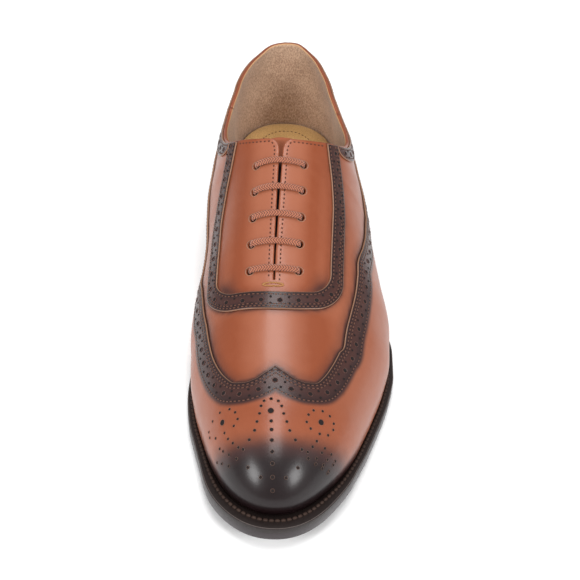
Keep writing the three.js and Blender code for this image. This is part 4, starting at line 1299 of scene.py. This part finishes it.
# The toe's punched figure, in millimetres: a centre column (along, radius), a plume of two arms (along, out)
# and a flower to either side, of places from its own middle (forward, out).
COLUMN = [(262.7, 1.5), (268, 0.85), (272.2, 0.9), (277.1, 0.9)]
COLUMN += [(282.1, 0.9), (286.9, 0.9), (291.9, 0.9), (296.2, 0.85)]
PLUME = [(256.2, 0), (257.3, 3.4), (260, 4.9), (263.9, 5.7), (267.9, 7), (272, 8.2), (275.9, 10.7)]
PLUME += [(279.3, 13.6), (281.9, 16.6), (282.6, 20.2), (282.4, 23.4), (282, 26.3), (287, 11.5), (291.7, 5.8)]
FLOWER = [(0, 0), (-1.8, -6), (-4.6, -3.4), (-5.6, 1.1), (-4.6, 4.6), (-2.1, 6.4), (0.7, 6), (4.3, 3.2)]
FLOWER += [(2, -7.1), (4.6, -5.3), (5.5, -1), (9.2, -2.6), (12.3, -4.8), (15.3, -7.3), (10.4, 1.3)]
FLOWER += [(12.8, -0.3), (16.1, -3), (10.9, 4.5), (13.8, 2.5), (16.8, 0.3), (11.6, 6.7), (13.5, 5.6)]
FLOWER += [(16.8, 3.3)]
# way, middle line, and the flower's middle: along, out
FLOWER_PLACES = [(1, -0.5, 264.2, 21.6), (-1, -2.0, 262.4, 23.6)]


def on_sheet_from_above(sheet, places):
    """Points of a sheet straight below places given as along and across: barycentric, highest face."""
    p, n, f = sheet["p"], sheet["n"], sheet["f"]
    f = f[(p[f[:, 0], 1] > 245) & (n[f[:, 0], 2] > 0.1)]
    target = np.array(places, float)
    target = np.stack([target[:, 1] + ridge_shift(target[:, 0] / SOLE_LENGTH), target[:, 0]], 1)
    a, b, c = (p[f[:, k], :2] for k in range(3))
    area = (b - a)[:, 0] * (c - a)[:, 1] - (b - a)[:, 1] * (c - a)[:, 0]
    area = np.where(np.abs(area) < 1e-9, 1e-9, area)

    def share(u, v):
        w = target[:, None, :] - u[None]
        return ((v - u)[None, :, 0] * w[..., 1] - (v - u)[None, :, 1] * w[..., 0]) / area[None]

    wc, wa, wb = share(a, b), share(b, c), share(c, a)
    weights = np.stack([wa, wb, wc], -1)
    hit = weights.min(-1) > -1e-6
    height = np.where(hit, (weights * p[f][None, :, :, 2]).sum(-1), -1e9)
    best = height.argmax(1)
    rows = np.arange(len(target))
    w = weights[rows, best][..., None]
    keep = hit[rows, best]
    normal = (n[f[best]] * w).sum(1)
    normal /= np.linalg.norm(normal, axis=1, keepdims=True)
    return (p[f[best]] * w).sum(1)[keep], normal[keep], keep


figure = [(along, -3.0, size) for along, size in COLUMN]
figure += [(along, -2.6 + way * out, 0.74) for along, out in PLUME for way in (-1, 1)]
for way, middle, start, out in FLOWER_PLACES:
    for k, (forward, aside) in enumerate(FLOWER):
        figure.append((start + forward, middle + way * (out + aside), 1.5 if k == 0 else 0.68))
toe_p, toe_n, hit = on_sheet_from_above(wing_sheet, [row[:2] for row in figure])
sizes = np.array([row[2] for row in figure])[hit]
toe_t = np.cross(toe_n, [1.0, 0, 0])
toe_t /= np.linalg.norm(toe_t, axis=1, keepdims=True)
dishes, rims = [], []
for size in np.unique(sizes):
    places = [value[sizes == size] for value in (toe_p, toe_t, toe_n)]
    dishes.append(scatter(disc(size), places, HOLE_LIFT))
    rims.append(scatter(ring_form(size + 0.08, 0.13, 12, 5), places, HOLE_LIFT + 0.01))
# Painted shade: dark dishes in the toe figure's holes.
make_piece("toe_figure_hole_shades", *joined(dishes), HOLE_SHADE)
p, f = joined(rims)
dark, warm = painted(p)
values = {"dark": 0.2 + 0.7 * dark, "warm": warm, "edge": np.full(len(p), 0.15)}
make_piece("toe_figure_rims", p, f, UPPER_LEATHER, values=values)

rims = scatter(ring_form(EYELET_RADIUS + 0.1, 0.18, 24, 8), (EYE_P, EYE_T, EYE_N), 0.02)
make_piece("eyelet_rims", *rims, RIM)


# Lace


# share of the way to the next row, depth in shares of the space below, how far the oval is turned
RUN_BELOW = [(0.06, 0.93, 0.7), (0.19, 1.03, 0), (0.81, 1.03, 0), (0.94, 0.93, -0.7)]


def lace_path():
    """The lace's route: a bar across each row, down through its eyelets, and on below to the next row.
    Returns its points, the half sizes of its oval, and the direction that the first half size is measured in:
    forwards in a bar and upwards in a run below, with a sign that turns over from row to row."""
    wide, thin = LACE_WIDTH / 2, LACE_THICK / 2
    narrow = 0.9 * wide
    over, under = WALL_PLAY + thin, -UPPER_WALL - WALL_PLAY - thin
    order = ROWS[::-1]
    route = []
    for row, where in enumerate(order):
        sign = (-1) ** row
        start = -sign * EYELET_HALF_SPAN
        stops = [(start, under, narrow)] if row == 0 else []
        stops += [(start, -UPPER_WALL / 2, narrow), (start * 0.985, over * 0.55, narrow)]
        stops += [(start * 0.87 * share, over, wide) for share in np.linspace(1, -1, 9)]
        stops += [(-start * 0.985, over * 0.55, narrow), (-start, -UPPER_WALL / 2, narrow)]
        if where == order[-1]:
            stops.append((-start, under, narrow))
        route += [(where, place, height, half, thin, sign, 0) for place, height, half in stops]
        if where != order[-1]:
            step = order[row + 1] - where
            for share, deep, ahead in RUN_BELOW:
                route.append((where + step * share, -start, under * deep, thin, narrow, sign * ahead, sign))
    along, place, height, first, second, forward, upward = np.array(route, float).T
    p, n, t = upper_frame(along, place)
    guide = t * forward[:, None] + n * upward[:, None]
    return p + n * height[:, None], first, second, guide


def build_lace():
    """Oval braid along its route, with two ridges: its thickness is drawn in by a quarter at the middle."""
    points, first_half, second_half, guide = lace_path()
    length = np.concatenate([[0], np.cumsum(np.linalg.norm(np.diff(points, axis=0), axis=1))])
    s = np.arange(0, length[-1], 0.55)

    def rounded(values):
        """Values along the route, evened out over five steps."""
        fine = np.interp(s, length, values)
        return np.convolve(np.pad(fine, 2, mode="edge"), np.array([1, 2, 3, 2, 1]) / 9, mode="valid")

    centre = np.stack([rounded(points[:, k]) for k in range(3)], 1)
    one, two = rounded(first_half)[:, None], rounded(second_half)[:, None]
    tangent = np.gradient(centre, axis=0)
    tangent /= np.linalg.norm(tangent, axis=1, keepdims=True)
    first = np.stack([rounded(guide[:, k]) for k in range(3)], 1)
    first -= tangent * (first * tangent).sum(1, keepdims=True)
    first /= np.linalg.norm(first, axis=1, keepdims=True)
    second = np.cross(tangent, first)
    turn = np.arange(LACE_SIDES)[None, :] * 2 * math.pi / LACE_SIDES
    c, d = np.cos(turn), np.sin(turn)
    a = one * c * np.where(one >= two, 1, 1 - 0.24 * hump(d, 0, 0.32))
    b = two * d * np.where(one >= two, 1 - 0.24 * hump(c, 0, 0.32), 1)
    p = centre[:, None, :] + first[:, None, :] * a[..., None] + second[:, None, :] * b[..., None]
    values = {"run": np.repeat(s, LACE_SIDES), "turn": np.where(one >= two, c, d).ravel()}
    f = tube_faces(len(s), LACE_SIDES)
    make_piece("lace_braid", p.reshape(-1, 3), f, lace_material(), "lace", "lace_cord", values=values)


build_lace()


# Sole


def outline_alongs(start, end, steps=26, sides=90):
    """Places from end to end, close together round the two rounded ends."""
    turn = 1 - np.cos((np.arange(steps) + 0.5) / steps * math.pi / 2)
    heel = start + HEEL_ROUND[0] * turn
    toe = end - TOE_ROUND[0] * turn[::-1]
    return np.concatenate([heel, np.linspace(start + HEEL_ROUND[0], end - TOE_ROUND[0], sides), toe])


def ring(share, extra, height, first=0.0, final=SOLE_LENGTH):
    """Closed ring of the outline: outer side heel to toe, then the inner side back, between two places."""
    alongs = outline_alongs(share * HEEL_MARGIN + extra, SOLE_LENGTH - share * TOE_MARGIN - extra)
    alongs = np.clip(alongs, first, final)
    both = []
    for side, way in ((1, alongs), (-1, alongs[::-1])):
        x = bend(way / SOLE_LENGTH) + side * half_width(side, way, share, extra)
        both.append(np.stack([x, way, height(way)], 1))
    return np.concatenate(both)


def stack_rings(rings, loop=False):
    """Wall through rings, closed on itself or with strips across its first and last ring."""
    p = np.stack(rings)
    count, n = p.shape[:2]
    f = grid_faces(count, n, closed_rows=loop, closed_columns=True)
    if not loop:
        i = np.arange(n // 2 - 1)
        a, b, c, d = i, i + 1, n - 2 - i, n - 1 - i
        bottom = np.concatenate([np.stack([a, c, b], 1), np.stack([a, d, c], 1)])
        f = np.concatenate([f, bottom, bottom[:, ::-1] + (count - 1) * n])
    return p.reshape(-1, 3), f


def rounded_side(low, high, radii, steps=4, **limits):
    """Rings up a side face with its lower and upper corner rounded by quarter circles of two radii."""
    rings = []
    for level, radius, way in ((low, radii[0], 1), (high, radii[1], -1)):
        for k in range(steps + 1):
            turn = math.pi / 2 * k / steps
            by_sine, by_cosine = radius * (1 - math.sin(turn)), radius * (1 - math.cos(turn))
            cut, up = (by_sine, by_cosine) if way > 0 else (by_cosine, -by_sine)
            height = lambda along, level=level, up=up: level(along) + up
            rings.append(ring(0, cut, height, **limits))
    return rings


sole_low = lambda along: underside(along / SOLE_LENGTH)
tread = [ring(0, extra, sole_low) for extra in (30.0, 22.0, 17.0, 15.5, 8.0)]
rings = tread + rounded_side(sole_low, sole_top, (0.7, 0.02))
p, f = stack_rings(rings)
ribbed = np.repeat([1.0, 1, 1, 0, 0] + [0.0] * (len(rings) - len(tread)), len(rings[0]))
ribbed = ribbed * smoothstep(118, 122, p[:, 1])
below = (f < len(tread) * len(rings[0])).all(1)
values = {"ribs": ribbed}
make_piece("outsole_finished", p, f, [SOLE_EDGE, TREAD], "outsole", "rubber", values=values, kinds=below)

strip_low = lambda along: sole_top(along) + 0.01
strip_high = lambda along: sole_top(along) + SEAT + WELT_THICK
INNER = UPPER_WALL + 0.2

for name, limits in (("welt", {"first": HEEL_LENGTH}), ("heel_rand", {"final": HEEL_LENGTH - 0.1})):
    rings = rounded_side(strip_low, strip_high, (0.02, 0.45), **limits)
    rings += [ring(1, INNER, level, **limits) for level in (strip_high, strip_low)]
    p, f = welded(*stack_rings(rings, loop=True))
    make_piece(name + "_finished", p, f, WELT, name, "sole_leather")


def level_at(height):
    """A height that is the same all along the shoe."""
    return lambda along: np.full(len(along), height)


def heel_part(name, low, high, tapers, material, slot, grooves=0):
    """A heel layer: rings drawn in towards the floor, its breast hollowed by a circle, with fine layer lines
    cut by a cosine of the height."""
    rings = []
    for level in np.linspace(0, 1, 2 + grooves * 4):
        groove = 0.12 * (1 - math.cos(2 * math.pi * level * grooves)) / 2
        height = lambda along, level=level: low(along) + (high(along) - low(along)) * level
        rings.append(ring(0, tapers[0] + (tapers[1] - tapers[0]) * level + groove, height, final=HEEL_LENGTH))
    p, f = stack_rings(rings)
    scoop = HEEL_LENGTH + BREAST_RADIUS - 3 - np.sqrt(BREAST_RADIUS**2 - p[:, 0] ** 2)
    p[:, 1] = np.minimum(p[:, 1], scoop)
    make_piece(name + "_finished", *welded(p, f), material, name, slot, smooth=False)


heel_low = level_at(TOP_PIECE_THICK + 0.05)
heel_top = lambda along: sole_low(along) - 0.05
heel_part("heel_block", heel_low, heel_top, (HEEL_TAPER, 0.8), SOLE_EDGE, "sole_leather", 4)
top_piece = (level_at(0.0), level_at(TOP_PIECE_THICK))
heel_part("heel_top_piece", *top_piece, (HEEL_TAPER, HEEL_TAPER), RUBBER, "rubber")

INSIDE = UPPER_WALL + WALL_PLAY
sock_low = lambda along: sole_top(along) + SEAT
# how far each ring of the sock lies in from its edge, and below its top
SOCK_RINGS = [(0, 0.8), (0.2, 0.3), (0.8, 0)] + [(cut, -0.02 * cut) for cut in (4.0, 9.0, 16.0, 24.0)]
rings = [ring(1, INSIDE + WALL_PLAY, sock_low)]
for cut, down in SOCK_RINGS:
    rings.append(ring(1, INSIDE + cut, lambda a, down=down: sock_low(a) + INSOLE_THICK - down))
make_piece("insole_sock", *stack_rings(rings), SOCK, "insole", "sock_leather")


def ring_line(share, extra, height, low, high, up=1.0):
    """A ring's part between two places as a chain with its normal: round the heel from 0, else the toe."""
    line = ring(share, extra, height)
    if low == 0:
        line = np.roll(line, len(line) // 2, axis=0)
    line = line[(line[:, 1] > low) & (line[:, 1] < high)]
    return line, np.tile([0.0, 0.0, up], (len(line), 1))


heel_pad = ring_line(1, INSIDE + 9, lambda a: sock_low(a) + INSOLE_THICK + 0.25, 0, 82)
make_piece("heel_pad_stitches", *scatter(FINE_STITCH, even_steps(heel_pad, 2.6), 0.0), STITCH)

seam = ring_line(0.5, 0.3, strip_high, HEEL_LENGTH, SOLE_LENGTH)
stitches = scatter(capsule(3.1, 0.95, flat=0.7), even_steps(seam, 2.9), 0.15)
make_piece("welt_stitches", *stitches, WELT_STITCH)

EDGE_LINE_RADIUS = 0.17
rings = []
for turn in np.arange(6) * -math.pi / 3:
    rise = EDGE_LINE_RADIUS * math.sin(turn)
    height = lambda along, rise=rise: strip_high(along) + rise
    rings.append(ring(0, 0.45 + EDGE_LINE_RADIUS * math.cos(turn), height))
make_piece("welt_edge_line", *stack_rings(rings, loop=True), EDGE_LINE)

seam = ring_line(0, 10.5, lambda a: sole_low(a) - 0.02, 92, SOLE_LENGTH, -1.0)
stitches = scatter(capsule(9.4, 0.75, flat=0.3), even_steps(seam, 11.0), 0.0)
make_piece("sole_channel_stitches", *stitches, SOLE_STITCH)


# Floor, light and camera


FLOOR_HALF = 4.0
FLOOR_LEVEL = -0.0002
WORLD_STRENGTH = 0.52


def build_stage():
    """A pale floor just below the shoe, much wider than the view."""
    corners = [(x * FLOOR_HALF, y * FLOOR_HALF, FLOOR_LEVEL) for x, y in ((-1, -1), (1, -1), (1, 1), (-1, 1))]
    mesh = bpy.data.meshes.new("floor")
    mesh.from_pydata(corners, [], [(0, 1, 2, 3)])
    floor = bpy.data.objects.new("floor", mesh)
    bpy.context.scene.collection.objects.link(floor)
    mesh.materials.append(new_material("Pale floor", Roughness=0.7, Base_Color=(0.96, 0.96, 0.96, 1))[0])


def area_light(name, at, target, size, power):
    """A soft box that shines from a place towards a target."""
    data = bpy.data.lights.new(name, "AREA")
    data.shape = "RECTANGLE"
    data.size, data.size_y = size
    data.energy = power
    lamp = bpy.data.objects.new(name, data)
    bpy.context.scene.collection.objects.link(lamp)
    lamp.location = at
    lamp.rotation_euler = (Vector(target) - Vector(at)).to_track_quat("-Z", "Y").to_euler()


def build_light():
    """White surroundings, a soft box to either side of the toe and one above."""
    world = bpy.data.worlds.new("Studio")
    bpy.context.scene.world = world
    world.use_nodes = True
    background = world.node_tree.nodes["Background"]
    background.inputs[0].default_value = (1, 1, 1, 1)
    background.inputs[1].default_value = WORLD_STRENGTH
    area_light("Left soft box", (-0.80, -0.80, 0.72), (0, -0.05, 0.03), (0.45, 0.45), 9)
    area_light("Right soft box", (0.80, -0.80, 0.72), (0, -0.05, 0.03), (0.45, 0.45), 9)
    area_light("Top soft box", (0.0, 0.0, 1.3), (0, 0, 0.03), (0.34, 1.1), 9)


ELEVATION, AZIMUTH, ROLL = (math.radians(degrees) for degrees in (42.0, -1.5, 3.3))
DISTANCE = 0.670
AIM = Vector((MIDDLE_LINE, BACK_OF_SOLE - 152.5, 40.0)) * 0.001
SENSOR = 36.0
# The photograph's size, its focal length and the pixel that the camera is aimed at, in its own pixels
PHOTO_SIZE = 580
PHOTO_FOCAL = 1197.0
PHOTO_AIM = (284.0, 274.0)


def build_camera():
    """The photograph's view: 42 degrees up, 1.5 degrees to the inner side, rolled by 3.3 degrees."""
    level = math.cos(ELEVATION)
    back = Vector((math.sin(AZIMUTH) * level, -math.cos(AZIMUTH) * level, math.sin(ELEVATION)))
    right = (-back).cross(Vector((0, 0, 1))).normalized()
    up = right.cross(-back)
    rolled_right = math.cos(ROLL) * right + math.sin(ROLL) * up
    rolled_up = -math.sin(ROLL) * right + math.cos(ROLL) * up
    data = bpy.data.cameras.new("Camera")
    data.sensor_width = SENSOR
    data.lens = PHOTO_FOCAL * SENSOR / PHOTO_SIZE
    data.shift_x = (PHOTO_SIZE / 2 - PHOTO_AIM[0]) / PHOTO_SIZE
    data.shift_y = (PHOTO_AIM[1] - PHOTO_SIZE / 2) / PHOTO_SIZE
    camera = bpy.data.objects.new("Camera", data)
    turn = Matrix((rolled_right, rolled_up, back)).transposed().to_4x4()
    camera.matrix_world = Matrix.Translation(AIM + back * DISTANCE) @ turn
    bpy.context.scene.collection.objects.link(camera)
    bpy.context.scene.camera = camera


build_stage()
build_light()
build_camera()
bpy.context.scene.view_settings.view_transform = "Standard"
